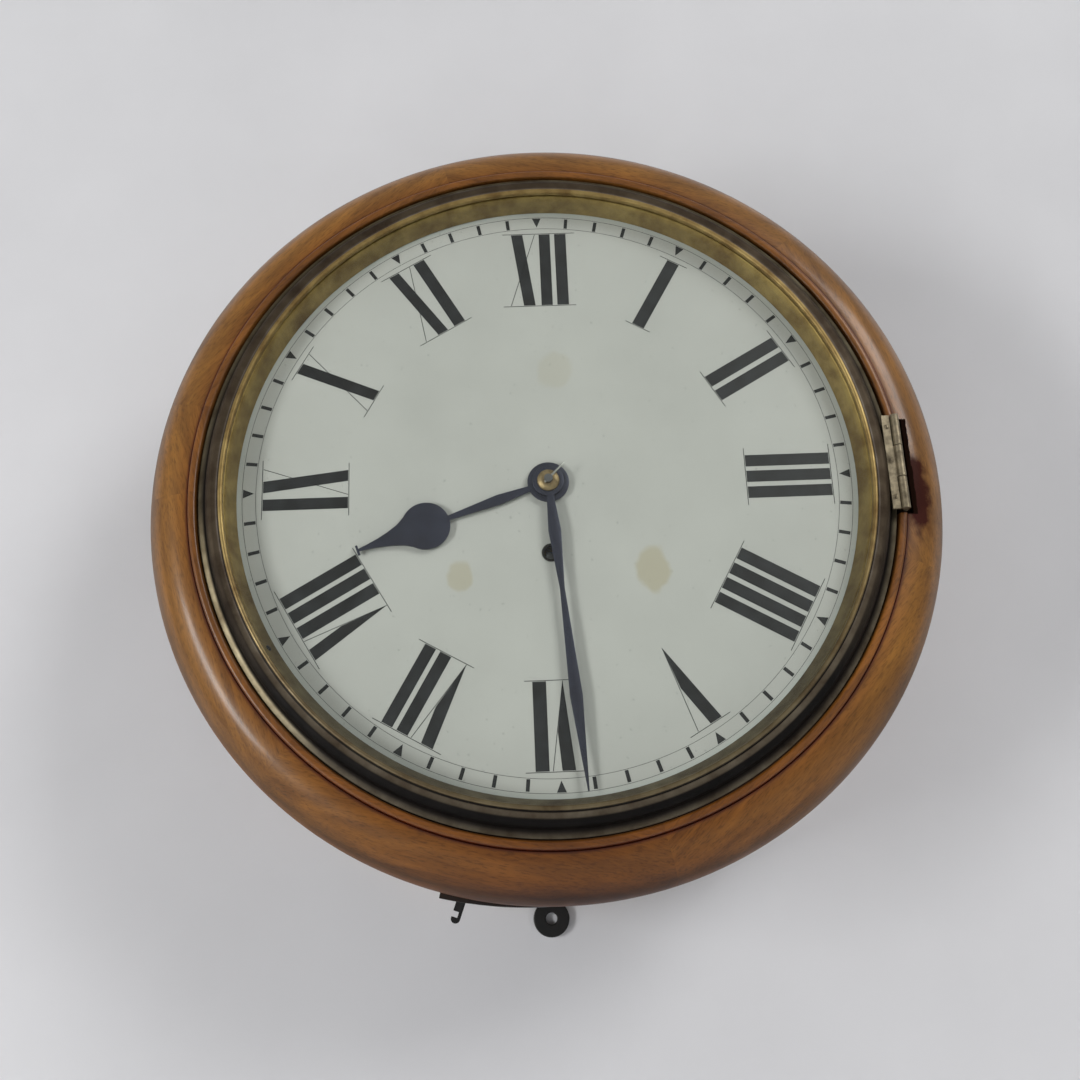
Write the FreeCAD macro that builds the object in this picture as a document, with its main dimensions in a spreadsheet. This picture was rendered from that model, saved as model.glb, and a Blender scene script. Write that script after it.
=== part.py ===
import FreeCAD, Part
import math
import os
import Sketcher

# A wall dial clock with a 12-inch dial and a single-fusee movement, in millimetres.
# It stands upright as on its wall: +Z up, +X to the right, and the dial faces -Y.
# The wall is the plane y = 0, and the dial axis meets it at the origin.
# A depth is measured forward from the wall, so a point at depth d lies at y = -d.

Vector = FreeCAD.Vector
Rotation = FreeCAD.Rotation
doc = FreeCAD.newDocument("dial_clock")
sheet = doc.addObject("Spreadsheet::Sheet", "sheet")
aliases = []
pieces = {}


class Size:
    """A sheet value, or what is worked out from several, as a number and as expression text."""

    def __init__(self, value, text):
        self.value = value
        self.text = text

    def __add__(self, other):
        other = as_size(other)
        return Size(self.value + other.value, f"({self.text} + {other.text})")

    def __sub__(self, other):
        other = as_size(other)
        return Size(self.value - other.value, f"({self.text} - {other.text})")

    def __mul__(self, other):
        other = as_size(other)
        return Size(self.value * other.value, f"({self.text} * {other.text})")

    def __truediv__(self, other):
        other = as_size(other)
        return Size(self.value / other.value, f"({self.text} / {other.text})")

    def __rsub__(self, other):
        return as_size(other) - self

    def __neg__(self):
        return Size(-self.value, f"(-1 * {self.text})")

    __radd__ = __add__
    __rmul__ = __mul__


def as_size(number):
    if isinstance(number, Size):
        return number
    return Size(float(number), repr(float(number)))


def size(alias, value):
    aliases.append(alias)
    sheet.set(f"A{len(aliases)}", alias)
    sheet.set(f"B{len(aliases)}", str(value))
    sheet.setAlias(f"B{len(aliases)}", alias)
    doc.recompute([sheet])
    return Size(float(value), f"sheet.{alias}")


def root(number):
    return Size(math.sqrt(number.value), f"sqrt({number.text})")


def cosine(angle):
    return Size(math.cos(math.radians(angle.value)), f"cos({angle.text})")


def sine(angle):
    return Size(math.sin(math.radians(angle.value)), f"sin({angle.text})")


def bind(item, path, number):
    item.setExpression(path, as_size(number).text)


def name_piece(item, label):
    item.Label = label
    pieces[label] = item
    return item


def place(item, rotation, x, depth, z):
    x, depth, z = as_size(x), as_size(depth), as_size(z)
    item.Placement = FreeCAD.Placement(Vector(x.value, -depth.value, z.value), rotation)
    bind(item, "Placement.Base.x", x)
    bind(item, "Placement.Base.y", -depth)
    bind(item, "Placement.Base.z", z)
    return item


UPRIGHT = Rotation()
FACING = Rotation(Vector(1, 0, 0), 90)
SIDEWAYS = Rotation(Vector(0, 1, 0), 90)


def pin_point(sketch, edge, end, point):
    for axis, kind, coordinate in ((-2, "DistanceX", point[0]), (-1, "DistanceY", point[1])):
        if coordinate.value == 0.0 and "sheet" not in coordinate.text:
            sketch.addConstraint(Sketcher.Constraint("PointOnObject", edge, end, axis))
            continue
        index = sketch.addConstraint(Sketcher.Constraint(kind, -1, 1, edge, end, coordinate.value))
        bind(sketch, f"Constraints[{index}]", coordinate)


def draw_outline(sketch, corners):
    """Draw a closed outline. A corner (x, y, radius, turn) is reached along an arc, turn +1 anticlockwise."""
    points = [(as_size(corner[0]), as_size(corner[1])) for corner in corners]
    edges = []
    for i, corner in enumerate(corners[1:] + corners[:1]):
        begin = Vector(points[i][0].value, points[i][1].value, 0)
        finish = Vector(as_size(corner[0]).value, as_size(corner[1]).value, 0)
        if len(corner) == 2:
            edges.append((sketch.addGeometry(Part.LineSegment(begin, finish), False), 1, 2))
            continue
        radius, turn = as_size(corner[2]), corner[3]
        chord = finish - begin
        rise = math.sqrt(max(radius.value ** 2 - (chord.Length / 2) ** 2, 0.0))
        across = Vector(-chord.y, chord.x, 0).normalize()
        centre = (begin + finish) * 0.5 + across * (rise * turn)
        angles = [math.atan2(p.y - centre.y, p.x - centre.x) for p in (begin, finish)][::turn]
        circle = Part.Circle(centre, Vector(0, 0, 1), radius.value)
        edge = sketch.addGeometry(Part.ArcOfCircle(circle, angles[0], angles[1]), False)
        index = sketch.addConstraint(Sketcher.Constraint("Radius", edge, radius.value))
        bind(sketch, f"Constraints[{index}]", radius)
        edges.append((edge, 1, 2) if turn > 0 else (edge, 2, 1))
    for i, (edge, begin, finish) in enumerate(edges):
        following = edges[(i + 1) % len(edges)]
        sketch.addConstraint(Sketcher.Constraint("Coincident", edge, finish, following[0], following[1]))
        pin_point(sketch, edge, begin, points[i])


def draw_circle(sketch, x, y, radius):
    x, y, radius = as_size(x), as_size(y), as_size(radius)
    circle = Part.Circle(Vector(x.value, y.value, 0), Vector(0, 0, 1), radius.value)
    edge = sketch.addGeometry(circle, False)
    index = sketch.addConstraint(Sketcher.Constraint("Radius", edge, radius.value))
    bind(sketch, f"Constraints[{index}]", radius)
    pin_point(sketch, edge, 3, (x, y))


def new_sketch(body, plane):
    sketch = body.newObject("Sketcher::SketchObject", f"{body.Name}_sketch")
    support = [item for item in body.Origin.OriginFeatures if item.Role == plane][0]
    sketch.AttachmentSupport = (support, [""])
    sketch.MapMode = "FlatFace"
    return sketch


def turned(label, profile, x=0, z=0):
    """Turn a profile of (radius, depth) corners about the forward axis through (x, z)."""
    body = doc.addObject("PartDesign::Body", label)
    sketch = new_sketch(body, "XZ_Plane")
    draw_outline(sketch, profile)
    turning = body.newObject("PartDesign::Revolution", f"{label}_turning")
    turning.Profile = sketch
    turning.ReferenceAxis = (sketch, ["V_Axis"])
    turning.Angle = 360
    return place(body, FACING, x, 0, z)


def sawn(label, outline, back, front, circles=(), x=0, z=0, angle=0, rotation=FACING):
    """Pad an outline of (x, z) corners from one depth to another, turned anticlockwise by angle."""
    body = doc.addObject("PartDesign::Body", label)
    sketch = new_sketch(body, "XY_Plane")
    draw_outline(sketch, outline)
    for circle in circles:
        draw_circle(sketch, *circle)
    sketch.AttachmentOffset = FreeCAD.Placement(Vector(), Rotation(Vector(0, 0, 1), as_size(angle).value))
    bind(sketch, "AttachmentOffset.Rotation.Angle", angle)
    pad = body.newObject("PartDesign::Pad", f"{label}_pad")
    pad.Profile = sketch
    bind(pad, "Length", as_size(front) - back)
    return place(body, rotation, x, back, z)


def block(label, x0, x1, back, front, z0, z1):
    item = doc.addObject("Part::Box", label)
    bind(item, "Length", as_size(x1) - x0)
    bind(item, "Width", as_size(front) - back)
    bind(item, "Height", as_size(z1) - z0)
    return place(item, UPRIGHT, x0, front, z0)


def round_bar(label, radius, length, rotation, x, depth, z):
    item = doc.addObject("Part::Cylinder", label)
    bind(item, "Radius", radius)
    bind(item, "Height", length)
    return place(item, rotation, x, depth, z)


def cut(label, base, tool):
    item = doc.addObject("Part::Cut", label)
    item.Base = base
    item.Tool = tool
    return item


def joined(label, members):
    item = doc.addObject("Part::MultiFuse", label)
    item.Shapes = members
    return item


def group(label, members):
    item = doc.addObject("Part::Compound", label)
    item.Links = members
    return item


def shaped(label, shape, rotation, x, depth, z):
    item = doc.addObject("Part::Feature", label)
    item.Shape = shape
    x, depth, z = as_size(x), as_size(depth), as_size(z)
    item.Placement = FreeCAD.Placement(Vector(x.value, -depth.value, z.value), rotation)
    return item


def mirrored_outline(half):
    """Close the right half of an outline, given from bottom to top, with its mirror image."""
    arrivals = [tuple(corner[2:]) for corner in half[1:]] + [()]
    left = [(-as_size(corner[0]), corner[1]) + arrival for corner, arrival in zip(half, arrivals)][::-1]
    if as_size(half[0][0]).value == 0:
        return [left[-1]] + half[1:] + left[:-1]
    return half + left


# Case. The box is four boards and a curved bottom behind the turned surround.
box_depth = size("box_depth", 108)
box_half_width = size("box_half_width", 120)
box_top = size("box_top", 120)
board_thick = size("board_thick", 12)
back_thick = size("back_thick", 12)
bottom_door_angle = size("bottom_door_angle", 17.6)
door_gap = size("door_gap", 0.6)
side_inner = box_half_width - board_thick
box_inside_top = box_top - board_thick

# The surround is turned: dial land, bezel rebate, bead, cut line and quarter-round crown,
# with its back edge tucked in to the box.
seat_depth = size("seat_depth", 22)
dial_thick = size("dial_thick", 1.2)
surround_bore = size("surround_bore", 139.5)
rebate_radius = size("rebate_radius", 165.2)
bead_width = size("bead_width", 4.2)
bead_height = size("bead_height", 4.6)
cut_line = size("cut_line", 0.6)
crown_width = size("crown_width", 27.2)
crown_land = size("crown_land", 0.4)
crown_drop = size("crown_drop", 18.6)
dial_face = box_depth + seat_depth
dial_back = dial_face - dial_thick
bead_edge = rebate_radius + bead_width
crown_radius = rebate_radius + crown_width
crown_round = crown_width - bead_width - cut_line - crown_land
crown_widest = dial_face - crown_drop
tuck_round = crown_widest - box_depth
surround_blank = turned("surround_blank", [
    (surround_bore, box_depth),
    (surround_bore, dial_back),
    (rebate_radius, dial_back),
    (rebate_radius, dial_face + bead_height),
    (bead_edge, dial_face + bead_height, bead_width * 0.62, -1),
    (bead_edge + cut_line / 2, dial_face + bead_height - cut_line * 2),
    (bead_edge + cut_line, dial_face + bead_height),
    (crown_radius - crown_round, crown_widest + crown_round),
    (crown_radius, crown_widest, crown_round, -1),
    (crown_radius - tuck_round, box_depth, tuck_round, -1),
])

# The bezel hinge stands at 3 o'clock. Its fixed leaf is let into a mortise in the surround,
# and the front of the mortise is wider to clear the knuckles.
hinge_axis_x = size("hinge_axis_x", 165.9)
hinge_axis_height = size("hinge_axis_height", 10.2)
hinge_length = size("hinge_length", 47)
hinge_middle = size("hinge_middle", 1.5)
hinge_thick = size("hinge_thick", 1.2)
hinge_leaf_width = size("hinge_leaf_width", 6.2)
hinge_knuckle = size("hinge_knuckle", 2)
hinge_pin = size("hinge_pin", 1)
fixed_leaf_width = size("fixed_leaf_width", 16)
running_gap = size("running_gap", 0.06)
clear_gap = size("clear_gap", 0.3)
fixed_leaf_side = size("fixed_leaf_side", 0.6)
mortise_inset = size("mortise_inset", 0.9)
mortise_wall = hinge_axis_x + fixed_leaf_side + hinge_thick
hinge_bottom = hinge_middle - hinge_length / 2
knuckle_room = size("knuckle_room", 3.6)
mortise_ends = (hinge_bottom - clear_gap, hinge_bottom + hinge_length + clear_gap)
mortise = joined("mortise", [
    block("leaf_slot", rebate_radius - mortise_inset, mortise_wall,
          dial_face + hinge_axis_height - fixed_leaf_width, dial_face + crown_round, *mortise_ends),
    block("knuckle_slot", rebate_radius - mortise_inset, mortise_wall + knuckle_room,
          dial_back, dial_face + crown_round, *mortise_ends),
])
name_piece(cut("dial_surround", surround_blank, mortise), "dial_surround")

# The box has a curved bottom, a little inside the crown and struck from the same centre.
bottom_set = size("bottom_set", 3.9)
bottom_radius = crown_radius - bottom_set
side_bottom = -root(bottom_radius * bottom_radius - box_half_width * box_half_width)
bottom_inner = bottom_radius - board_thick
inner_fall = -root(bottom_inner * bottom_inner - side_inner * side_inner)

# Two battens behind the surround stand inside the box sides, and four pegs hold them there.
batten_width = size("batten_width", 16)
batten_depth = size("batten_depth", 24)
batten_foot_gap = size("batten_foot_gap", 3.9)
peg_radius = size("peg_radius", 4)
peg_head = size("peg_head", 5)
peg_upper = size("peg_upper", 80)
peg_rise = size("peg_rise", 33.4)
peg_lower = side_bottom + peg_rise
peg_length = peg_head + board_thick + batten_width * 0.8
peg_depth = box_depth - batten_depth / 2
batten_back = box_depth - batten_depth
batten_bottom = inner_fall + batten_foot_gap
pegs = []
peg_starts = (("left", -box_half_width - peg_head), ("right", box_half_width + peg_head - peg_length))
for side, start in peg_starts:
    for row, peg_z in (("upper", peg_upper), ("lower", peg_lower)):
        pegs.append(round_bar(f"peg_{side}_{row}", peg_radius, peg_length, SIDEWAYS,
                              start, peg_depth, peg_z))
case_pegs = name_piece(group("case_pegs", pegs), "case_pegs")
batten_blanks = group("batten_blanks", [
    block("left_batten", -side_inner, batten_width - side_inner, batten_back, box_depth,
          batten_bottom, box_inside_top),
    block("right_batten", side_inner - batten_width, side_inner, batten_back, box_depth,
          batten_bottom, box_inside_top),
])
name_piece(cut("surround_battens", batten_blanks, case_pegs), "surround_battens")

# The right board has a window for the side door.
left_blank = block("left_blank", -box_half_width, -side_inner, back_thick, box_depth,
                   side_bottom, box_inside_top)
name_piece(cut("left_side_board", left_blank, case_pegs), "left_side_board")
side_door_back = size("side_door_back", 26)
side_door_front = size("side_door_front", 80)
side_door_half = size("side_door_half", 60)
right_blank = block("right_blank", side_inner, box_half_width, back_thick, box_depth,
                    side_bottom, box_inside_top)
side_window = block("side_window", side_inner - 1, box_half_width + 1, side_door_back, side_door_front,
                    -side_door_half, side_door_half)
right_frame = cut("right_frame", right_blank, side_window)
name_piece(cut("right_side_board", right_frame, case_pegs), "right_side_board")
name_piece(block("top_board", -box_half_width, box_half_width, back_thick, box_depth,
                 box_inside_top, box_top), "top_board")

# The curved bottom has a fixed segment under each side board and a door between them.
bottom_segments = []
for side, mirror in (("left", -1), ("right", 1)):
    end_sine, end_cosine = sine(bottom_door_angle), cosine(bottom_door_angle)
    bottom_segments.append(sawn(f"{side}_segment", [
        (box_half_width * mirror, side_bottom),
        (bottom_radius * end_sine * mirror, -bottom_radius * end_cosine, bottom_radius, -mirror),
        (bottom_inner * end_sine * mirror, -bottom_inner * end_cosine),
        (side_inner * mirror, inner_fall, bottom_inner, mirror),
        (side_inner * mirror, side_bottom),
    ], back_thick, box_depth))
name_piece(bottom_segments[1], "bottom_right_segment")

# The backboard closes the box. The iron lug is let into its back at the foot.
lug_x = size("lug_x", -4.5)
lug_reach = size("lug_reach", 9.5)
lug_z = -bottom_radius - lug_reach
lug_radius = size("lug_radius", 9.5)
lug_shank = size("lug_shank", 7.2)
lug_thick = size("lug_thick", 3)
lug_length = size("lug_length", 40)
lug_hole = size("lug_hole", 3)
hang_z = size("hang_z", 94)
hang_hole = size("hang_hole", 4)
hang_plate_half = size("hang_plate_half", 25)
hang_plate_rise = size("hang_plate_rise", 12)
hang_plate_thick = size("hang_plate_thick", 3)
back_hole = size("back_hole", 9)
backboard_blank = sawn("backboard_blank", [
    (-box_half_width, box_top),
    (-box_half_width, side_bottom),
    (box_half_width, side_bottom, bottom_radius, 1),
    (box_half_width, box_top),
], 0, back_thick, circles=[(0, hang_z, back_hole)])
lug_neck = root(lug_radius * lug_radius - lug_shank * lug_shank)
lug_recess = block("lug_recess", lug_x - lug_shank, lug_x + lug_shank, -1, lug_thick,
                   lug_z, lug_z + lug_length)
name_piece(cut("backboard", backboard_blank, lug_recess), "backboard")
name_piece(sawn("bottom_lug", [
    (-lug_shank, lug_length),
    (-lug_shank, lug_neck),
    (-lug_radius, 0, lug_radius, 1),
    (0, -lug_radius, lug_radius, 1),
    (lug_radius, 0, lug_radius, 1),
    (lug_shank, lug_neck, lug_radius, 1),
    (lug_shank, lug_length),
], 0, lug_thick, circles=[(0, 0, lug_hole)], x=lug_x, z=lug_z), "bottom_lug")
name_piece(sawn("hanging_plate", [
    (-hang_plate_half, -hang_plate_rise),
    (hang_plate_half, -hang_plate_rise),
    (hang_plate_half, hang_plate_rise),
    (-hang_plate_half, hang_plate_rise),
], back_thick, back_thick + hang_plate_thick, circles=[(0, 0, hang_hole)], z=hang_z), "hanging_plate")


def hinge_leaf(width, offset, length, spans, knuckle, pin, thick):
    """One leaf of a butt hinge: pin along z, leaf along +x at y = offset, knuckles at the given spans."""
    start = knuckle.value + clear_gap.value
    leaf = Part.makeBox(width.value - start, thick.value, length.value, Vector(start, offset, 0))
    for low, high in spans:
        strap = Part.makeBox(start, thick.value, high - low, Vector(0, offset, low))
        leaf = leaf.fuse(strap).fuse(Part.makeCylinder(knuckle.value, high - low, Vector(0, 0, low)))
    return leaf.cut(Part.makeCylinder(pin.value + running_gap.value, length.value)).removeSplitter()


def hinge_pair(length, knuckle, pin, thick, moving, fixed):
    """Both leaves of a butt hinge: the fixed one has the end knuckles and carries the pin."""
    third, gap = length.value / 3, clear_gap.value / 2
    middle = [(third + gap, 2 * third - gap)]
    ends = [(0, third - gap), (2 * third + gap, length.value)]
    swinging = hinge_leaf(moving[0], moving[1], length, middle, knuckle, pin, thick)
    standing = hinge_leaf(fixed[0], fixed[1], length, ends, knuckle, pin, thick)
    wide_pin = Part.makeCylinder(pin.value + running_gap.value, third - gap)
    far_pin = Part.makeCylinder(pin.value + running_gap.value, third - gap, Vector(0, 0, 2 * third + gap))
    standing = standing.fuse(Part.makeCylinder(pin.value, length.value)).fuse(wide_pin).fuse(far_pin)
    return swinging, standing.removeSplitter()


# Bezel: a brass ring with a rounded lip, a dull round and a cove, its sloping sight ring and its glass.
bezel_outer = size("bezel_outer", 164.6)
bezel_edge_height = size("bezel_edge_height", 4.2)
bezel_lift = size("bezel_lift", 0.4)
cove_inner = size("cove_inner", 160.2)
cove_height = size("cove_height", 8)
round_inner = size("round_inner", 154.2)
round_height = size("round_height", 11.9)
lip_inner = size("lip_inner", 151)
lip_width = size("lip_width", 2.4)
lip_height = size("lip_height", 13)
glass_radius = size("glass_radius", 153)
glass_play = size("glass_play", 0.8)
glass_height = size("glass_height", 9.2)
glass_thick = size("glass_thick", 1.8)
glass_bed = size("glass_bed", 0.2)
bezel_wall = size("bezel_wall", 1.6)
glass_seat = glass_radius + glass_play
lip_outer = lip_inner + lip_width
lip_back = glass_height + glass_thick + glass_bed
bezel_blank = turned("bezel_blank", [
    (glass_seat, dial_face + bezel_lift),
    (glass_seat, dial_face + lip_back),
    (lip_inner, dial_face + lip_back),
    (lip_inner, dial_face + lip_height),
    (lip_outer, dial_face + lip_height, lip_width * 0.53, -1),
    (lip_outer + lip_width / 8, dial_face + round_height + lip_width / 8),
    (round_inner, dial_face + round_height),
    (cove_inner, dial_face + cove_height + bezel_wall * 0.6, (cove_inner - round_inner) * 0.9, -1),
    (cove_inner + bezel_wall / 8, dial_face + cove_height),
    (bezel_outer - bezel_wall / 2, dial_face + bezel_edge_height + bezel_wall / 4, cove_height * 0.6, 1),
    (bezel_outer, dial_face + bezel_edge_height),
    (bezel_outer, dial_face + bezel_lift),
    (bezel_outer - bezel_wall, dial_face + bezel_lift),
    (bezel_outer - bezel_wall, dial_face + bezel_edge_height - bezel_wall * 0.75),
    (glass_seat + bezel_wall, dial_face + cove_height - bezel_wall),
    (glass_seat + bezel_wall, dial_face + bezel_lift),
])
sight_inner = size("sight_inner", 151.4)
sight_slope = size("sight_slope", 3.9)
sight_wall = size("sight_wall", 1)
sight_foot = sight_inner - sight_slope
name_piece(turned("sight_ring", [
    (sight_foot, dial_face + bezel_lift),
    (sight_inner, dial_face + glass_height),
    (glass_radius, dial_face + glass_height),
    (glass_radius, dial_face + glass_height - sight_wall),
    (sight_inner + sight_wall, dial_face + glass_height - sight_wall),
    (sight_foot + sight_wall, dial_face + bezel_lift),
]), "sight_ring")
name_piece(round_bar("bezel_glass", glass_radius, glass_thick, FACING, 0, dial_face + glass_height, 0),
           "bezel_glass")
moving_leaf, fixed_leaf = hinge_pair(
    hinge_length, hinge_knuckle, hinge_pin, hinge_thick,
    (hinge_leaf_width, -hinge_thick.value),
    (fixed_leaf_width, -fixed_leaf_side.value - hinge_thick.value))
hinge_depth = dial_face + hinge_axis_height
bezel_leaf = shaped("bezel_hinge_leaf", moving_leaf, Rotation(Vector(0, 0, 1), 180),
                    hinge_axis_x, hinge_depth, hinge_bottom)
name_piece(bezel_leaf, "bezel_hinge_leaf")
name_piece(cut("brass_bezel", bezel_blank, bezel_leaf), "brass_bezel")
name_piece(shaped("bezel_hinge_fixed_leaf", fixed_leaf, Rotation(Vector(0, 0, 1), 90),
                  hinge_axis_x, hinge_depth, hinge_bottom), "bezel_hinge_fixed_leaf")

# Dial: a painted iron disc on the surround's land, with a lined winding hole below the centre.
dial_radius = size("dial_radius", 157.5)
dial_centre_hole = size("dial_centre_hole", 6)
winding_drop = size("winding_drop", 34.4)
winding_hole = size("winding_hole", 3.3)
eyelet_wall = size("eyelet_wall", 0.55)
eyelet_flange = size("eyelet_flange", 1.1)
eyelet_outer = winding_hole + eyelet_wall
dial_circles = [(0, 0, dial_radius), (0, 0, dial_centre_hole), (0, -winding_drop, eyelet_outer + running_gap)]
name_piece(sawn("dial_plate", [], dial_back, dial_face, circles=dial_circles), "dial_plate")
name_piece(turned("winding_eyelet", [
    (winding_hole, dial_back - eyelet_wall),
    (winding_hole, dial_face + eyelet_wall),
    (winding_hole + eyelet_flange, dial_face + eyelet_wall),
    (winding_hole + eyelet_flange, dial_face),
    (eyelet_outer, dial_face),
    (eyelet_outer, dial_back - eyelet_wall),
], z=-winding_drop), "winding_eyelet")

# Movement frame: two plates on four pillars, hung from the dial by four feet.
foot_length = size("foot_length", 20)
foot_radius = size("foot_radius", 3.5)
foot_x = size("foot_x", 46)
foot_inset = size("foot_inset", 8)
plate_thick = size("plate_thick", 3)
plate_gap = size("plate_gap", 42)
plate_half_width = size("plate_half_width", 67)
plate_top = size("plate_top", 67)
plate_bottom = size("plate_bottom", -101)
pillar_inset = size("pillar_inset", 8)
pillar_radius = size("pillar_radius", 4)
pillar_collar = size("pillar_collar", 5.5)
plate_front = dial_back - foot_length
front_inside = plate_front - plate_thick
back_inside = front_inside - plate_gap
plate_rear = back_inside - plate_thick
plate_outline = [
    (-plate_half_width, plate_bottom),
    (plate_half_width, plate_bottom),
    (plate_half_width, plate_top),
    (-plate_half_width, plate_top),
]

# Train: great wheel on the fusee arbor, centre wheel, third wheel and escape wheel.
great_teeth = 96
centre_teeth = 96
third_teeth = 100
escape_teeth = 30
pinion_leaves = 8
great_module = winding_drop * 2 / (great_teeth + pinion_leaves)
centre_module = size("centre_module", 0.5)
third_module = size("third_module", 0.45)
escape_rise = size("escape_rise", 30)
pallet_rise = size("pallet_rise", 53)
centre_distance = centre_module * ((centre_teeth + pinion_leaves) / 2)
third_distance = third_module * ((third_teeth + pinion_leaves) / 2)
third_z = (centre_distance * centre_distance - third_distance * third_distance
           + escape_rise * escape_rise) / (escape_rise * 2)
third_x = root(centre_distance * centre_distance - third_z * third_z)
barrel_x = size("barrel_x", -39.5)
barrel_z = size("barrel_z", -74)

# Motion work in front of the plate: cannon pinion, minute wheel and hour wheel, twelve to one.
cannon_teeth = 36
minute_pinion_leaves = 6
hour_teeth = 72
motion_module = size("motion_module", 0.89)
motion_angle = size("motion_angle", 135)
motion_distance = motion_module * cannon_teeth
hour_module = motion_distance * 2 / (hour_teeth + minute_pinion_leaves)
minute_x = motion_distance * cosine(motion_angle)
minute_z = motion_distance * sine(motion_angle)
post_radius = size("post_radius", 0.9)
post_length = size("post_length", 11)

pivot_radius = size("pivot_radius", 0.9)
arbor_radius = size("arbor_radius", 1.3)
centre_radius = size("centre_radius", 2)
centre_pivot = size("centre_pivot", 1.2)
fusee_arbor_radius = size("fusee_arbor_radius", 3)
fusee_pivot = size("fusee_pivot", 2)
barrel_arbor_radius = size("barrel_arbor_radius", 4)
barrel_pivot = size("barrel_pivot", 2.5)
pallet_opening = size("pallet_opening", 5)
small_pivots = [(third_x, third_z, pivot_radius + running_gap), (0, escape_rise, pivot_radius + running_gap)]
front_holes = small_pivots + [
    (0, pallet_rise, pivot_radius + running_gap),
    (0, 0, centre_radius + running_gap),
    (0, -winding_drop, fusee_arbor_radius + running_gap),
    (barrel_x, barrel_z, barrel_pivot + running_gap),
]
back_holes = small_pivots + [
    (0, pallet_rise, pallet_opening),
    (0, 0, centre_pivot + running_gap),
    (0, -winding_drop, fusee_pivot + running_gap),
    (barrel_x, barrel_z, barrel_pivot + running_gap),
]
front_blank = sawn("front_blank", plate_outline, front_inside, plate_front, circles=front_holes)
minute_post = round_bar("minute_post", post_radius, post_length, FACING, minute_x, plate_front, minute_z)
name_piece(joined("front_plate", [front_blank, minute_post]), "front_plate")
name_piece(sawn("back_plate", plate_outline, plate_rear, back_inside, circles=back_holes), "back_plate")
corners = [("left_low", -1, plate_bottom + pillar_inset), ("right_low", 1, plate_bottom + pillar_inset),
           ("left_high", -1, plate_top - pillar_inset), ("right_high", 1, plate_top - pillar_inset)]
pillars = []
feet = []
for corner, side, pillar_z in corners:
    pillars.append(turned(f"pillar_{corner}", [
        (0, back_inside),
        (pillar_collar, back_inside),
        (pillar_collar, back_inside + pillar_collar),
        (pillar_radius, back_inside + pillar_collar),
        (pillar_radius, front_inside - pillar_collar),
        (pillar_collar, front_inside - pillar_collar),
        (pillar_collar, front_inside),
        (0, front_inside),
    ], x=(plate_half_width - pillar_inset) * side, z=pillar_z))
    feet.append(round_bar(f"foot_{corner}", foot_radius, foot_length, FACING,
                          foot_x * side, plate_front, pillar_z))
name_piece(group("plate_pillars", pillars), "plate_pillars")
name_piece(group("dial_feet", feet), "dial_feet")


# Teeth are straight-flanked with blunt tips, thinned for backlash as old clock wheels are.
wheel_addendum = size("wheel_addendum", 0.85)
pinion_addendum = size("pinion_addendum", 0.55)
tooth_root_clearance = size("tooth_root_clearance", 0.45)
tooth_root_share = size("tooth_root_share", 0.5)
tooth_tip_share = size("tooth_tip_share", 0.16)


def toothed_face(teeth, module, addendum, dedendum, bearing):
    """A toothed disc with one tooth at the given bearing, in degrees anticlockwise from +x."""
    pitch_radius = teeth * module / 2
    step = 360 / teeth
    flank = [(pitch_radius - dedendum * module, -tooth_root_share.value / 2),
             (pitch_radius + addendum * module, -tooth_tip_share.value / 2),
             (pitch_radius + addendum * module, tooth_tip_share.value / 2),
             (pitch_radius - dedendum * module, tooth_root_share.value / 2)]
    points = []
    for tooth in range(teeth):
        for radius, share in flank:
            angle = math.radians(bearing + (tooth + share) * step)
            points.append(Vector(radius * math.cos(angle), radius * math.sin(angle), 0))
    return Part.Face(Part.makePolygon(points + points[:1]))


def round_face(radius):
    return Part.Face(Part.Wire(Part.makeCircle(radius)))


def crossings(inner, outer, arms, arm_width):
    """The windows between a wheel's arms."""
    window = round_face(outer).cut(round_face(inner))
    for arm in range(arms):
        bar = Part.makePlane(outer * 1.1, arm_width, Vector(0, -arm_width / 2, 0))
        bar.rotate(Vector(), Vector(0, 0, 1), 360 * arm / arms)
        window = window.cut(bar)
    return window


def wheel(label, teeth, module, bearing, bore, thick, x, depth, z, arms=0, hub=0.0):
    dedendum = pinion_addendum.value + tooth_root_clearance.value
    face = toothed_face(teeth, module.value, wheel_addendum.value, dedendum, bearing)
    if arms:
        rim = teeth * module.value / 2 - (dedendum + 2.5) * module.value
        face = face.cut(crossings(hub, rim, arms, hub * 0.6))
    face = face.cut(round_face(bore.value))
    return shaped(label, face.extrude(Vector(0, 0, thick.value)), FACING, x, depth, z)


def pinion(label, leaves, module, bearing, length, x, depth, z):
    dedendum = wheel_addendum.value + tooth_root_clearance.value
    face = toothed_face(leaves, module.value, pinion_addendum.value, dedendum, bearing)
    return shaped(label, face.extrude(Vector(0, 0, length.value)), FACING, x, depth, z)


def bearing_between(x0, z0, x1, z1):
    x0, z0, x1, z1 = [as_size(number).value for number in (x0, z0, x1, z1)]
    return math.degrees(math.atan2(z1 - z0, x1 - x0))


def leaf_gap(bearing, leaves):
    return bearing + 180 + 180 / leaves


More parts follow.
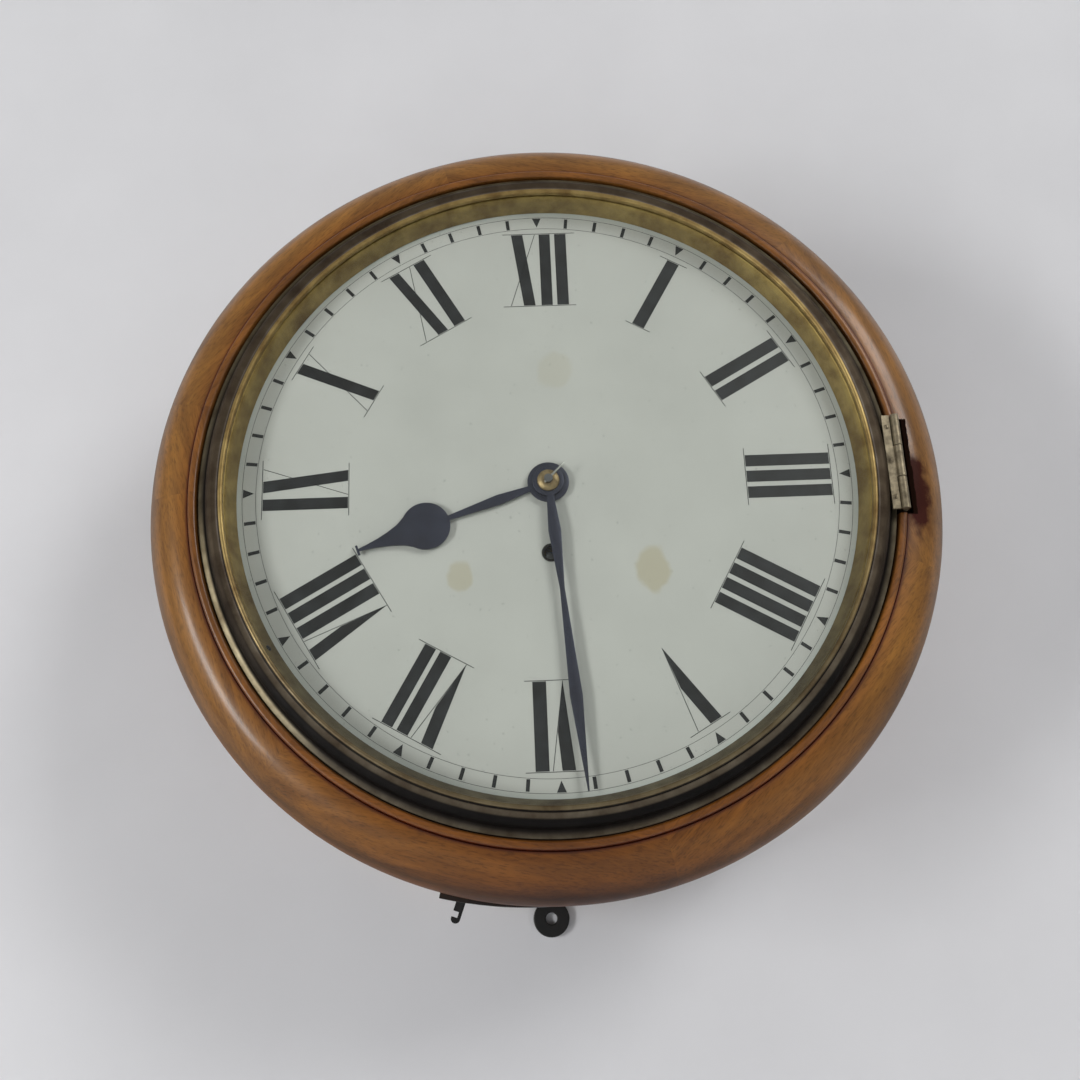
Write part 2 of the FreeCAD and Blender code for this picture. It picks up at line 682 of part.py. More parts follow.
# Great wheel and the fusee on its arbor. The arbor's squared end stands behind the winding hole.
great_depth = size("great_depth", 8)
great_thick = size("great_thick", 2.5)
wheel_thick = size("wheel_thick", 1.6)
pinion_length = size("pinion_length", 5)
pinion_lead = size("pinion_lead", 1.4)
great_bearing = 90.0
name_piece(wheel("great_wheel", great_teeth, great_module, great_bearing, fusee_arbor_radius + running_gap,
                 great_thick, 0, back_inside + great_depth, -winding_drop), "great_wheel")
fusee_large = size("fusee_large", 23)
fusee_small = size("fusee_small", 12)
fusee_length = size("fusee_length", 23)
fusee_groove = size("fusee_groove", 1.1)
fusee_turns = 6
fusee_back = back_inside + great_depth + great_thick + clear_gap
turn_pitch = fusee_length / fusee_turns
fusee_profile = [(fusee_arbor_radius, fusee_back)]
for turn in range(fusee_turns):
    share = turn / (fusee_turns - 1)
    turn_radius = fusee_large * fusee_small / (fusee_small + (fusee_large - fusee_small) * share)
    land = fusee_back + turn_pitch * turn
    fusee_profile += [
        (turn_radius, land),
        (turn_radius, land + turn_pitch * 0.3),
        (turn_radius - fusee_groove, land + turn_pitch * 0.65),
    ]
fusee_front = fusee_back + fusee_length
fusee_profile += [(fusee_small, fusee_front), (fusee_arbor_radius, fusee_front)]
name_piece(turned("fusee", fusee_profile, z=-winding_drop), "fusee")
square_half = size("square_half", 2.1)
square_length = size("square_length", 10)
square_end = size("square_end", 4.5)
square_front = dial_back - square_end
name_piece(joined("fusee_arbor", [
    round_bar("fusee_pivot_end", fusee_pivot, plate_thick + clear_gap, FACING, 0, plate_rear, -winding_drop),
    round_bar("fusee_shaft", fusee_arbor_radius, square_front - square_length - back_inside - clear_gap,
              FACING, 0, back_inside + clear_gap, -winding_drop),
    block("winding_square", -square_half, square_half, square_front - square_length, square_front,
          -winding_drop - square_half, square_half - winding_drop),
]), "fusee_arbor")

# Spring barrel beside the fusee: a drum on a fixed arbor, with the coiled mainspring inside.
barrel_radius = size("barrel_radius", 21)
barrel_wall = size("barrel_wall", 1.5)
barrel_end_gap = size("barrel_end_gap", 4)
barrel_back = back_inside + barrel_end_gap
barrel_front = front_inside - barrel_end_gap
barrel_bore = barrel_arbor_radius + running_gap
name_piece(turned("barrel", [
    (barrel_bore, barrel_back),
    (barrel_radius, barrel_back),
    (barrel_radius, barrel_front),
    (barrel_bore, barrel_front),
    (barrel_bore, barrel_front - barrel_wall),
    (barrel_radius - barrel_wall, barrel_front - barrel_wall),
    (barrel_radius - barrel_wall, barrel_back + barrel_wall),
    (barrel_bore, barrel_back + barrel_wall),
], x=barrel_x, z=barrel_z), "barrel")
barrel_shaft = turned("barrel_shaft", [
    (0, plate_rear),
    (barrel_pivot, plate_rear),
    (barrel_pivot, back_inside),
    (barrel_arbor_radius, back_inside),
    (barrel_arbor_radius, front_inside),
    (barrel_pivot, front_inside),
    (barrel_pivot, plate_front + wheel_thick * 2),
    (0, plate_front + wheel_thick * 2),
], x=barrel_x, z=barrel_z)
spring_band = size("spring_band", 0.8)
spring_coils = 5
spring_steps = 14


def spiral_band(inner, outer, band, height):
    """A flat coiled strip whose middle line grows evenly from one radius to another."""
    sides = ([], [])
    for step in range(spring_coils * spring_steps + 1):
        angle = 2 * math.pi * step / spring_steps
        middle = inner + (outer - inner) * step / (spring_coils * spring_steps)
        for side, radius in zip(sides, (middle - band / 2, middle + band / 2)):
            side.append(Vector(radius * math.cos(angle), radius * math.sin(angle), 0))
    loop = sides[0] + sides[1][::-1]
    return Part.Face(Part.makePolygon(loop + loop[:1])).extrude(Vector(0, 0, height))


spring_outer = barrel_radius - barrel_wall - spring_band / 2 - clear_gap
spring_inner = barrel_arbor_radius + spring_band / 2 + clear_gap
spring_height = plate_gap - barrel_end_gap * 2 - barrel_wall * 2 - clear_gap * 2
name_piece(shaped("mainspring", spiral_band(spring_inner.value, spring_outer.value, spring_band.value,
                                            spring_height.value),
                  FACING, barrel_x, barrel_back + barrel_wall + clear_gap, barrel_z), "mainspring")
ratchet_radius = size("ratchet_radius", 9)
ratchet_teeth = 18
ratchet_depth = size("ratchet_depth", 1.6)


def saw_face(teeth, tip, depth, lean, bore):
    """A disc of saw teeth: each tip leans round by a share of the pitch."""
    points = []
    for tooth in range(teeth):
        for radius, share in ((tip - depth, 0.0), (tip, lean), (tip, lean + 0.08)):
            angle = 2 * math.pi * (tooth + share) / teeth
            points.append(Vector(radius * math.cos(angle), radius * math.sin(angle), 0))
    return Part.Face(Part.makePolygon(points + points[:1])).cut(round_face(bore))


ratchet_face = saw_face(ratchet_teeth, ratchet_radius.value, ratchet_depth.value, 0.1, barrel_pivot.value)
setup_ratchet = shaped("setup_ratchet", ratchet_face.extrude(Vector(0, 0, wheel_thick.value)), FACING,
                       barrel_x, plate_front, barrel_z)
name_piece(joined("barrel_arbor", [barrel_shaft, setup_ratchet]), "barrel_arbor")

# The line runs from the barrel to the middle of the fusee, on their outer common tangent.
line_radius = size("line_radius", 0.7)
line_depth = fusee_back + turn_pitch * (fusee_turns / 2)
middle_radius = fusee_large * fusee_small / (fusee_small + (fusee_large - fusee_small) * 0.5)
line_offset = line_radius + clear_gap
span = Vector(-barrel_x.value, -winding_drop.value - barrel_z.value, 0)
tilt = math.asin((barrel_radius.value - middle_radius.value) / span.Length)
lean = math.atan2(span.y, span.x) + math.pi / 2 - tilt
outward = Vector(math.cos(lean), math.sin(lean), 0)
line_start = outward * (barrel_radius.value + line_offset.value)
line_run = span + outward * (middle_radius.value + line_offset.value) - line_start
line_shape = Part.makeCylinder(line_radius.value, line_run.Length, line_start, line_run)
name_piece(shaped("fusee_line", line_shape, FACING, barrel_x, line_depth, barrel_z), "fusee_line")

# Centre arbor and wheel. The front end carries the hands, held by a taper pin.
centre_depth = size("centre_depth", 2)
minute_hand_height = size("minute_hand_height", 3.6)
hand_thick = size("hand_thick", 0.9)
collet_thick = size("collet_thick", 2)
pin_radius = size("pin_radius", 0.55)
pin_length = size("pin_length", 11.5)
pin_tail = size("pin_tail", 3)
pin_angle = size("pin_angle", 45)
minute_hand_front = minute_hand_height + hand_thick
pin_height = minute_hand_front + collet_thick + pin_radius + clear_gap / 2
centre_end = dial_face + pin_height + pin_radius * 2
centre_shaft = turned("centre_shaft", [
    (0, plate_rear),
    (centre_pivot, plate_rear),
    (centre_pivot, back_inside + clear_gap),
    (centre_radius, back_inside + clear_gap),
    (centre_radius, centre_end),
    (0, centre_end),
])
centre_leaves = pinion("centre_leaves", pinion_leaves, great_module, leaf_gap(great_bearing, pinion_leaves),
                       pinion_length, 0, back_inside + great_depth - pinion_lead, 0)
pin_turn = Rotation(Vector(0, 1, 0), 90 - pin_angle.value)
hand_pin = name_piece(round_bar(
    "hand_pin", pin_radius, pin_length, pin_turn, -pin_tail * cosine(pin_angle), dial_face + pin_height,
    -pin_tail * sine(pin_angle)), "hand_pin")
bind(hand_pin, "Placement.Rotation.Angle", 90 - pin_angle)
pinned_arbor = joined("pinned_arbor", [centre_shaft, centre_leaves])
name_piece(cut("centre_arbor", pinned_arbor, hand_pin), "centre_arbor")
third_bearing = bearing_between(0, 0, third_x, third_z)
name_piece(wheel("centre_wheel", centre_teeth, centre_module, third_bearing, centre_radius, wheel_thick,
                 0, back_inside + centre_depth, 0, arms=4, hub=6), "centre_wheel")


def train_arbor(label, leaves_depth, module, bearing, x, z):
    """A pinion cut on its arbor, with a pivot in each plate."""
    shaft = turned(f"{label}_shaft", [
        (0, plate_rear),
        (pivot_radius, plate_rear),
        (pivot_radius, back_inside + clear_gap),
        (arbor_radius, back_inside + clear_gap),
        (arbor_radius, front_inside - clear_gap),
        (pivot_radius, front_inside - clear_gap),
        (pivot_radius, plate_front),
        (0, plate_front),
    ], x=x, z=z)
    leaves = pinion(f"{label}_leaves", pinion_leaves, module, leaf_gap(bearing, pinion_leaves), pinion_length,
                    x, leaves_depth, z)
    return name_piece(joined(label, [shaft, leaves]), label)


third_depth = size("third_depth", 20)
escape_depth = size("escape_depth", 28)
escape_radius = size("escape_radius", 14)
escape_tooth = size("escape_tooth", 3.2)
train_arbor("third_arbor", back_inside + centre_depth - pinion_lead, centre_module, third_bearing,
            third_x, third_z)
escape_bearing = bearing_between(third_x, third_z, 0, escape_rise)
name_piece(wheel("third_wheel", third_teeth, third_module, escape_bearing, arbor_radius, wheel_thick,
                 third_x, back_inside + third_depth, third_z, arms=4, hub=5), "third_wheel")
train_arbor("escape_arbor", back_inside + third_depth - pinion_lead, third_module, escape_bearing,
            0, escape_rise)
escape_face = saw_face(escape_teeth, escape_radius.value, escape_tooth.value, 0.45, arbor_radius.value)
escape_rim = escape_radius.value - escape_tooth.value * 1.7
escape_face = escape_face.cut(crossings(arbor_radius.value * 2.2, escape_rim, 4, 2.0))
name_piece(shaped("escape_wheel", escape_face.extrude(Vector(0, 0, wheel_thick.value)), FACING,
                  0, back_inside + escape_depth, escape_rise), "escape_wheel")

# Pallets stand clear of the escape teeth. Their arbor runs back through the plate to the cock.
pallet_reach = size("pallet_reach", 14)
pallet_span = size("pallet_span", 13.4)
pallet_nose = size("pallet_nose", 3.2)
pallet_arch = size("pallet_arch", 4.5)
cock_back = size("cock_back", 14)
cock_thick = size("cock_thick", 3)
cock_half_width = size("cock_half_width", 16)
cock_leg = size("cock_leg", 4)
cock_rise = size("cock_rise", 9)
cock_drop = size("cock_drop", 7)
cock_rear = plate_rear - cock_back
cock_front = cock_rear + cock_thick
name_piece(sawn("pallets", mirrored_outline([
    (pallet_arch, -pallet_arch),
    (pallet_span, -pallet_reach),
    (pallet_span + pallet_nose, -pallet_reach + pallet_nose * 0.6),
    (pallet_arch * 1.4, pallet_arch * 0.3),
    (pallet_arch * 0.5, pallet_arch),
]), back_inside + escape_depth, back_inside + escape_depth + wheel_thick,
    circles=[(0, 0, arbor_radius)], z=pallet_rise), "pallets")
name_piece(turned("pallet_arbor", [
    (0, cock_rear + clear_gap),
    (pivot_radius, cock_rear + clear_gap),
    (pivot_radius, cock_front + clear_gap),
    (arbor_radius, cock_front + clear_gap),
    (arbor_radius, front_inside - clear_gap),
    (pivot_radius, front_inside - clear_gap),
    (pivot_radius, plate_front),
    (0, plate_front),
], z=pallet_rise), "pallet_arbor")

# The cock bridges the pallet arbor behind the back plate, and its chop holds the suspension spring.
pendulum_back = size("pendulum_back", 7)
chop_half = size("chop_half", 4)
chop_rise = size("chop_rise", 7)
chop_rear = cock_rear - pendulum_back
pendulum_depth = cock_rear - pendulum_back * 0.55
cock_low, cock_high = pallet_rise - cock_drop, pallet_rise + cock_rise
name_piece(joined("back_cock", [
    sawn("cock_bar", [
        (-cock_half_width, cock_low),
        (cock_half_width, cock_low),
        (cock_half_width, cock_high),
        (-cock_half_width, cock_high),
    ], cock_rear, cock_front, circles=[(0, pallet_rise, pivot_radius + running_gap)]),
    block("cock_left_leg", -cock_half_width, cock_leg - cock_half_width, cock_front, plate_rear,
          cock_low, cock_high),
    block("cock_right_leg", cock_half_width - cock_leg, cock_half_width, cock_front, plate_rear,
          cock_low, cock_high),
    block("suspension_chop", -chop_half, chop_half, chop_rear, cock_rear,
          pallet_rise, pallet_rise + chop_rise),
]), "back_cock")

# Pendulum: spring, flat rod, lens bob and rating nut. It swings about the lower edge of the chop,
# so the spring's top slopes away to both sides.
pendulum_length = size("pendulum_length", 159)
spring_width = size("spring_width", 6)
spring_thick = size("spring_thick", 0.3)
spring_length = size("spring_length", 8)
spring_slope = size("spring_slope", 0.3)
rod_width = size("rod_width", 5)
rod_thick = size("rod_thick", 2)
bob_radius = size("bob_radius", 25)
bob_thick = size("bob_thick", 16)
bob_edge = size("bob_edge", 3)
nut_radius = size("nut_radius", 6)
nut_height = size("nut_height", 5)
thread_radius = size("thread_radius", 1.5)
thread_length = size("thread_length", 16)
bob_z = pallet_rise - pendulum_length
bob_bottom = bob_z - bob_radius
rod_top = pallet_rise - spring_length
name_piece(sawn("suspension_spring", [
    (-spring_width / 2, -spring_length),
    (spring_width / 2, -spring_length),
    (spring_width / 2, -running_gap - spring_slope),
    (0, -running_gap),
    (-spring_width / 2, -running_gap - spring_slope),
], pendulum_depth - spring_thick / 2, pendulum_depth + spring_thick / 2, z=pallet_rise), "suspension_spring")
flat_rod = block("flat_rod", -rod_width / 2, rod_width / 2, pendulum_depth - rod_thick / 2,
                 pendulum_depth + rod_thick / 2, bob_bottom, rod_top)
rod_thread = round_bar("rod_thread", thread_radius, thread_length, UPRIGHT, 0, pendulum_depth,
                       bob_bottom - thread_length)
pendulum_rod = name_piece(joined("pendulum_rod", [flat_rod, rod_thread]), "pendulum_rod")
bob_bulge = bob_thick / 2 - bob_edge / 2
bob_steps = 4
bob_profile = [(0, pendulum_depth - bob_thick / 2)]
for step in range(1, bob_steps + 1):
    share = step / bob_steps
    bob_fall = bob_edge / 2 + bob_bulge * (1 - share * share)
    bob_profile.append((bob_radius * share, pendulum_depth - bob_fall))
bob_profile += [(radius, pendulum_depth * 2 - depth) for radius, depth in bob_profile[::-1]]
bob_blank = turned("bob_blank", bob_profile, z=bob_z)
name_piece(cut("pendulum_bob", bob_blank, pendulum_rod), "pendulum_bob")
nut_top = bob_bottom - clear_gap
nut_blank = round_bar("nut_blank", nut_radius, nut_height, UPRIGHT, 0, pendulum_depth, nut_top - nut_height)
nut_bore = round_bar("nut_bore", thread_radius + running_gap, nut_height, UPRIGHT, 0, pendulum_depth,
                     nut_top - nut_height)
name_piece(cut("rating_nut", nut_blank, nut_bore), "rating_nut")

# The crutch hangs from the pallet arbor, and its two prongs reach back on either side of the rod.
crutch_length = size("crutch_length", 46)
crutch_width = size("crutch_width", 4)
crutch_boss = size("crutch_boss", 4.5)
crutch_thick = size("crutch_thick", 2)
prong = size("prong", 1.5)
crutch_back = cock_front + (plate_rear - cock_front - crutch_thick) / 2
crutch_front = crutch_back + crutch_thick
prong_inner = rod_width / 2 + clear_gap
prong_outer = prong_inner + prong
crutch_foot = pallet_rise - crutch_length
crutch_strip = sawn("crutch_strip", [
    (-crutch_boss, crutch_boss),
    (-crutch_boss, -crutch_boss),
    (-crutch_width / 2, -crutch_boss - crutch_width),
    (-crutch_width / 2, prong * 2 - crutch_length),
    (-prong_outer, prong * 2 - crutch_length),
    (-prong_outer, -crutch_length),
    (prong_outer, -crutch_length),
    (prong_outer, prong * 2 - crutch_length),
    (crutch_width / 2, prong * 2 - crutch_length),
    (crutch_width / 2, -crutch_boss - crutch_width),
    (crutch_boss, -crutch_boss),
    (crutch_boss, crutch_boss),
], crutch_back, crutch_front, circles=[(0, 0, arbor_radius)], z=pallet_rise)
prong_back = pendulum_depth - rod_thick
name_piece(joined("crutch", [
    crutch_strip,
    block("left_prong", -prong_outer, -prong_inner, prong_back, crutch_back,
          crutch_foot, crutch_foot + prong * 2),
    block("right_prong", prong_inner, prong_outer, prong_back, crutch_back,
          crutch_foot, crutch_foot + prong * 2),
]), "crutch")

# Motion work: the cannon pipe turns on the centre arbor, and the hour pipe turns on the cannon pipe.
motion_depth = size("motion_depth", 2)
cannon_wall = size("cannon_wall", 1.1)
hour_wall = size("hour_wall", 1.1)
hour_wheel_depth = size("hour_wheel_depth", 6.5)
hour_hand_height = size("hour_hand_height", 1.6)
cannon_bore = centre_radius + running_gap
cannon_outer = cannon_bore + cannon_wall
hour_bore = cannon_outer + running_gap
hour_outer = hour_bore + hour_wall
motion_bearing = motion_angle.value
cannon_pipe = turned("cannon_pipe", [
    (cannon_bore, plate_front + motion_depth),
    (cannon_outer, plate_front + motion_depth),
    (cannon_outer, dial_face + minute_hand_front),
    (cannon_bore, dial_face + minute_hand_front),
])
cannon_wheel = wheel("cannon_wheel", cannon_teeth, motion_module, motion_bearing, cannon_bore, wheel_thick,
                     0, plate_front + motion_depth, 0)
name_piece(joined("cannon_pinion", [cannon_pipe, cannon_wheel]), "cannon_pinion")
hour_hand_front = hour_hand_height + hand_thick
hour_pipe = turned("hour_pipe", [
    (hour_bore, plate_front + hour_wheel_depth),
    (hour_outer, plate_front + hour_wheel_depth),
    (hour_outer, dial_face + hour_hand_front),
    (hour_bore, dial_face + hour_hand_front),
])
hour_disc = wheel("hour_disc", hour_teeth, hour_module, motion_bearing, hour_bore, wheel_thick,
                  0, plate_front + hour_wheel_depth, 0)
name_piece(joined("hour_wheel", [hour_pipe, hour_disc]), "hour_wheel")
minute_bore = post_radius + running_gap
minute_disc = wheel("minute_disc", cannon_teeth, motion_module, leaf_gap(motion_bearing, cannon_teeth),
                    minute_bore, wheel_thick, minute_x, plate_front + motion_depth, minute_z)
minute_leaves = pinion("minute_leaves", minute_pinion_leaves, hour_module,
                       leaf_gap(motion_bearing, minute_pinion_leaves),
                       hour_wheel_depth - motion_depth + wheel_thick, minute_x,
                       plate_front + motion_depth + wheel_thick, minute_z)
minute_bore_tool = round_bar("minute_bore_tool", minute_bore, post_length, FACING,
                             minute_x, plate_front, minute_z)
minute_blank = joined("minute_blank", [minute_disc, minute_leaves])
name_piece(cut("minute_wheel", minute_blank, minute_bore_tool), "minute_wheel")

# Hands of blued steel: a bulb with a long drawn point for the hours, a slim leaf for the minutes.
hour_boss = size("hour_boss", 9.9)
hour_neck = size("hour_neck", 1.35)
hour_shank = size("hour_shank", 2.5)
hour_shank_at = size("hour_shank_at", 25)
hour_waist = size("hour_waist", 1.1)
hour_bulb = size("hour_bulb", 11.5)
hour_bulb_at = size("hour_bulb_at", 61.5)
hour_bulb_shoulder = size("hour_bulb_shoulder", 48)
hour_tip = size("hour_tip", 0.6)
hour_length = size("hour_length", 95.6)
hour_bar = size("hour_bar", 2.4)
hour_bar_thick = size("hour_bar_thick", 1.1)
hour_rest = size("hour_rest", 251.2)
minute_rest = size("minute_rest", 175.4)
minute_boss = size("minute_boss", 7.5)
minute_neck = size("minute_neck", 1.7)
minute_shank = size("minute_shank", 3)
minute_shank_at = size("minute_shank_at", 25)
minute_waist = size("minute_waist", 1.15)
minute_waist_at = size("minute_waist_at", 53)
minute_leaf = size("minute_leaf", 2.9)
minute_leaf_at = size("minute_leaf_at", 103)
minute_tip = size("minute_tip", 0.35)
minute_length = size("minute_length", 145.2)


def boss_side(boss, neck):
    """The right half of a hand's round boss, from its lowest point to the neck."""
    return [(0, -boss), (neck, root(boss * boss - neck * neck), boss, 1)]


bulb_foot = hour_bulb_at - root(hour_bulb * hour_bulb - hour_waist * hour_waist)
bulb_tangent = (hour_bulb * cosine(hour_bulb_shoulder), hour_bulb_at + hour_bulb * sine(hour_bulb_shoulder))
hour_half = boss_side(hour_boss, hour_neck) + [
    (hour_shank, hour_shank_at),
    (hour_waist, bulb_foot),
    bulb_tangent + (hour_bulb, 1),
    (hour_tip, hour_length - hour_bar_thick, (hour_length - hour_bulb_at) * 1.1, -1),
    (hour_bar, hour_length - hour_bar_thick),
    (hour_bar, hour_length),
]
minute_half = boss_side(minute_boss, minute_neck) + [
    (minute_shank, minute_shank_at),
    (minute_waist, minute_waist_at),
    (minute_leaf, minute_leaf_at),
    (minute_tip, minute_length),
]
name_piece(sawn("hour_hand", mirrored_outline(hour_half), dial_face + hour_hand_height,
                dial_face + hour_hand_front, circles=[(0, 0, hour_outer)], angle=-hour_rest), "hour_hand")
name_piece(sawn("minute_hand", mirrored_outline(minute_half), dial_face + minute_hand_height,
                dial_face + minute_hand_front, circles=[(0, 0, cannon_outer)], angle=-minute_rest),
           "minute_hand")
collet_radius = size("collet_radius", 5.3)
collet_back = dial_face + minute_hand_front
name_piece(turned("hand_collet", [
    (cannon_bore, collet_back),
    (collet_radius, collet_back),
    (collet_radius, collet_back + collet_thick * 0.35),
    (collet_radius * 0.84, collet_back + collet_thick * 0.8),
    (collet_radius * 0.58, collet_back + collet_thick),
    (cannon_bore, collet_back + collet_thick),
]), "hand_collet")

# Side door in the right board, with its butt hinge at the back edge and a turn button at the front.
small_hinge_thick = size("small_hinge_thick", 1)
small_knuckle = size("small_knuckle", 1.7)
small_pin = size("small_pin", 0.9)
small_leaf = size("small_leaf", 11)
small_axis = size("small_axis", 2)
side_hinge_length = size("side_hinge_length", 30)
side_hinge_spread = size("side_hinge_spread", 38)
bottom_hinge_length = size("bottom_hinge_length", 50)
name_piece(block("side_door", side_inner, box_half_width,
                 side_door_back + door_gap, side_door_front - door_gap,
                 door_gap - side_door_half, side_door_half - door_gap), "side_door")
small_sizes = (small_knuckle, small_pin, small_hinge_thick)
swing_offset = (small_leaf, -small_axis.value)
stand_offset = (small_leaf, small_axis.value - small_hinge_thick.value)
side_swing, side_stand = hinge_pair(side_hinge_length, *small_sizes, swing_offset, stand_offset)
side_axis = (box_half_width + small_axis, side_door_back + door_gap / 2)
swings = []
stands = []
for place_name, middle in (("low", -side_hinge_spread), ("high", side_hinge_spread)):
    hinge_foot = middle - side_hinge_length / 2
    swings.append(shaped(f"side_swing_{place_name}", side_swing, Rotation(Vector(0, 0, 1), -90),
                         *side_axis, hinge_foot))
    stands.append(shaped(f"side_stand_{place_name}", side_stand, Rotation(Vector(0, 0, 1), 90),
                         *side_axis, hinge_foot))
name_piece(group("side_door_hinge_leaves", swings), "side_door_hinge_leaves")
name_piece(group("side_door_hinge_fixed", stands), "side_door_hinge_fixed")
button_half = size("button_half", 9)
button_end = size("button_end", 4.5)
button_thick = size("button_thick", 3)
button_boss = size("button_boss", 3)
button_boss_rise = size("button_boss_rise", 1)
button_depth = side_door_front + button_end * 1.6
button_foot = box_half_width + clear_gap
button_bar = sawn("button_bar", [
    (-button_half, -button_end, button_end, 1),
    (button_half, -button_end),
    (button_half + button_end, 0, button_end, 1),
    (button_half, button_end, button_end, 1),
    (-button_half, button_end),
    (-button_half - button_end, 0, button_end, 1),
], button_depth, button_depth + button_thick, x=button_foot, rotation=SIDEWAYS)
button_pivot = round_bar("button_pivot", button_boss, button_thick + button_boss_rise, SIDEWAYS,
                         button_foot, button_depth, 0)
name_piece(joined("side_door_button", [button_bar, button_pivot]), "side_door_button")

# Bottom door: a curved panel hinged at its right end. It hangs a little open while its hook is off the stud.
door_ajar = size("door_ajar", 3.4)
gap_angle = door_gap / bottom_radius * (180 / math.pi)
leaf_angle = bottom_door_angle - gap_angle
axis_angle = bottom_door_angle - gap_angle / 2
axis_radius = bottom_radius + small_axis
axis_x, axis_z = axis_radius * sine(axis_angle), -axis_radius * cosine(axis_angle)
ajar_cosine, ajar_sine = cosine(door_ajar), sine(door_ajar)
ajar_x = axis_x - axis_x * ajar_cosine + axis_z * ajar_sine
ajar_z = axis_z - axis_x * ajar_sine - axis_z * ajar_cosine
door_panel = sawn("door_panel", [
    (-bottom_radius * sine(leaf_angle), -bottom_radius * cosine(leaf_angle)),
    (bottom_radius * sine(leaf_angle), -bottom_radius * cosine(leaf_angle), bottom_radius, 1),
    (bottom_inner * sine(leaf_angle), -bottom_inner * cosine(leaf_angle)),
    (-bottom_inner * sine(leaf_angle), -bottom_inner * cosine(leaf_angle), bottom_inner, -1),
], back_thick + door_gap, box_depth - door_gap, x=ajar_x, z=ajar_z, angle=door_ajar)
bottom_swing, bottom_stand = hinge_pair(bottom_hinge_length, *small_sizes, swing_offset, stand_offset)
hinge_back = (back_thick + box_depth - bottom_hinge_length) / 2
swing_turn = FACING.multiply(Rotation(Vector(0, 0, 1), 180 + axis_angle.value + door_ajar.value))
stand_turn = FACING.multiply(Rotation(Vector(0, 0, 1), axis_angle.value))
name_piece(shaped("bottom_door_hinge_leaf", bottom_swing, swing_turn, axis_x, hinge_back, axis_z),
           "bottom_door_hinge_leaf")
name_piece(shaped("bottom_door_hinge_fixed", bottom_stand, stand_turn, axis_x, hinge_back, axis_z),
           "bottom_door_hinge_fixed")

# The hook hangs in a slot in the door from a pin across the slot. With the door shut, its notch swings up
# onto a stud across a like slot in the fixed segment beside the door.
hook_depth = size("hook_depth", 56)
hook_thick = size("hook_thick", 2)
hook_half_width = size("hook_half_width", 2.25)
hook_length = size("hook_length", 16.2)
hook_set = size("hook_set", 5.82)
hook_inset = size("hook_inset", 8.75)
hook_lean = size("hook_lean", 20)
hook_notch = size("hook_notch", 12)
notch_half = size("notch_half", 1.4)
notch_depth = size("notch_depth", 2.9)
stud_radius = size("stud_radius", 1)
stud_drop = size("stud_drop", 0.4)
stud_hold = size("stud_hold", 4)
slot_side = size("slot_side", 1)
slot_rise = size("slot_rise", 0.8)
pin_angle = bottom_door_angle - hook_inset / bottom_radius * (180 / math.pi)
hook_x = -(bottom_radius - hook_set) * sine(pin_angle)
hook_z = -(bottom_radius - hook_set) * cosine(pin_angle)
notch_edge = notch_depth - hook_half_width
slot_back, slot_front = hook_depth - slot_side, hook_depth + hook_thick + slot_side
slot_length = hook_length + hook_half_width
slot_top = hook_z + hook_half_width + slot_rise
slot_foot = -bottom_radius - board_thick
slot_outline = [
    (hook_x - slot_length, slot_foot),
    (hook_x + hook_half_width + slot_rise, slot_foot),
    (hook_x + hook_half_width + slot_rise, slot_top),
    (hook_x - slot_length, slot_top),
]
pin_x = ajar_x + hook_x * ajar_cosine - hook_z * ajar_sine
pin_z = ajar_z + hook_x * ajar_sine + hook_z * ajar_cosine
stud_length = slot_front - slot_back + stud_hold * 2
name_piece(sawn("bottom_door_hook", [
    (-hook_half_width, 0, hook_half_width, 1),
    (-hook_half_width, notch_half - hook_notch),
    (notch_edge, notch_half - hook_notch),
    (notch_edge, -notch_half - hook_notch),
    (-hook_half_width, -notch_half - hook_notch),
    (-hook_half_width, hook_half_width - hook_length),
    (0, -hook_length, hook_half_width, 1),
    (hook_half_width, hook_half_width - hook_length, hook_half_width, 1),
    (hook_half_width, 0),
    (0, hook_half_width, hook_half_width, 1),
], hook_depth, hook_depth + hook_thick, circles=[(0, 0, stud_radius + running_gap)],
    x=pin_x, z=pin_z, angle=-hook_lean), "bottom_door_hook")
hook_pin = name_piece(round_bar("hook_pin", stud_radius, stud_length, FACING,
                                pin_x, slot_back - stud_hold, pin_z), "hook_pin")
hook_stud = name_piece(round_bar("hook_stud", stud_radius, stud_length, FACING,
                                 hook_x - hook_notch, slot_back - stud_hold, hook_z - stud_drop), "hook_stud")
door_slot = sawn("door_slot", slot_outline, slot_back, slot_front, x=ajar_x, z=ajar_z, angle=door_ajar)
segment_slot = sawn("segment_slot", slot_outline, slot_back, slot_front)
slotted_door = cut("slotted_door", door_panel, door_slot)
slotted_segment = cut("slotted_segment", bottom_segments[0], segment_slot)
name_piece(cut("bottom_door", slotted_door, hook_pin), "bottom_door")
name_piece(cut("bottom_left_segment", slotted_segment, hook_stud), "bottom_left_segment")

doc.recompute()
troubled = []
for item in doc.Objects:
    if "Invalid" in item.State or "Error" in item.State:
        troubled.append(f"{item.Name}: {item.State}")
for label, item in pieces.items():
    if item.Shape.isNull() or not item.Shape.isValid() or not item.Shape.Solids:
        troubled.append(f"{label}: no valid solid")
if troubled:
    raise RuntimeError("; ".join(troubled))
os.makedirs("parts", exist_ok=True)
for label, item in pieces.items():
    item.Shape.exportStep(f"parts/{label}.step")
print(len(pieces), "pieces written")
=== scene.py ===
import math
import bmesh
import bpy
from mathutils import Matrix, Vector


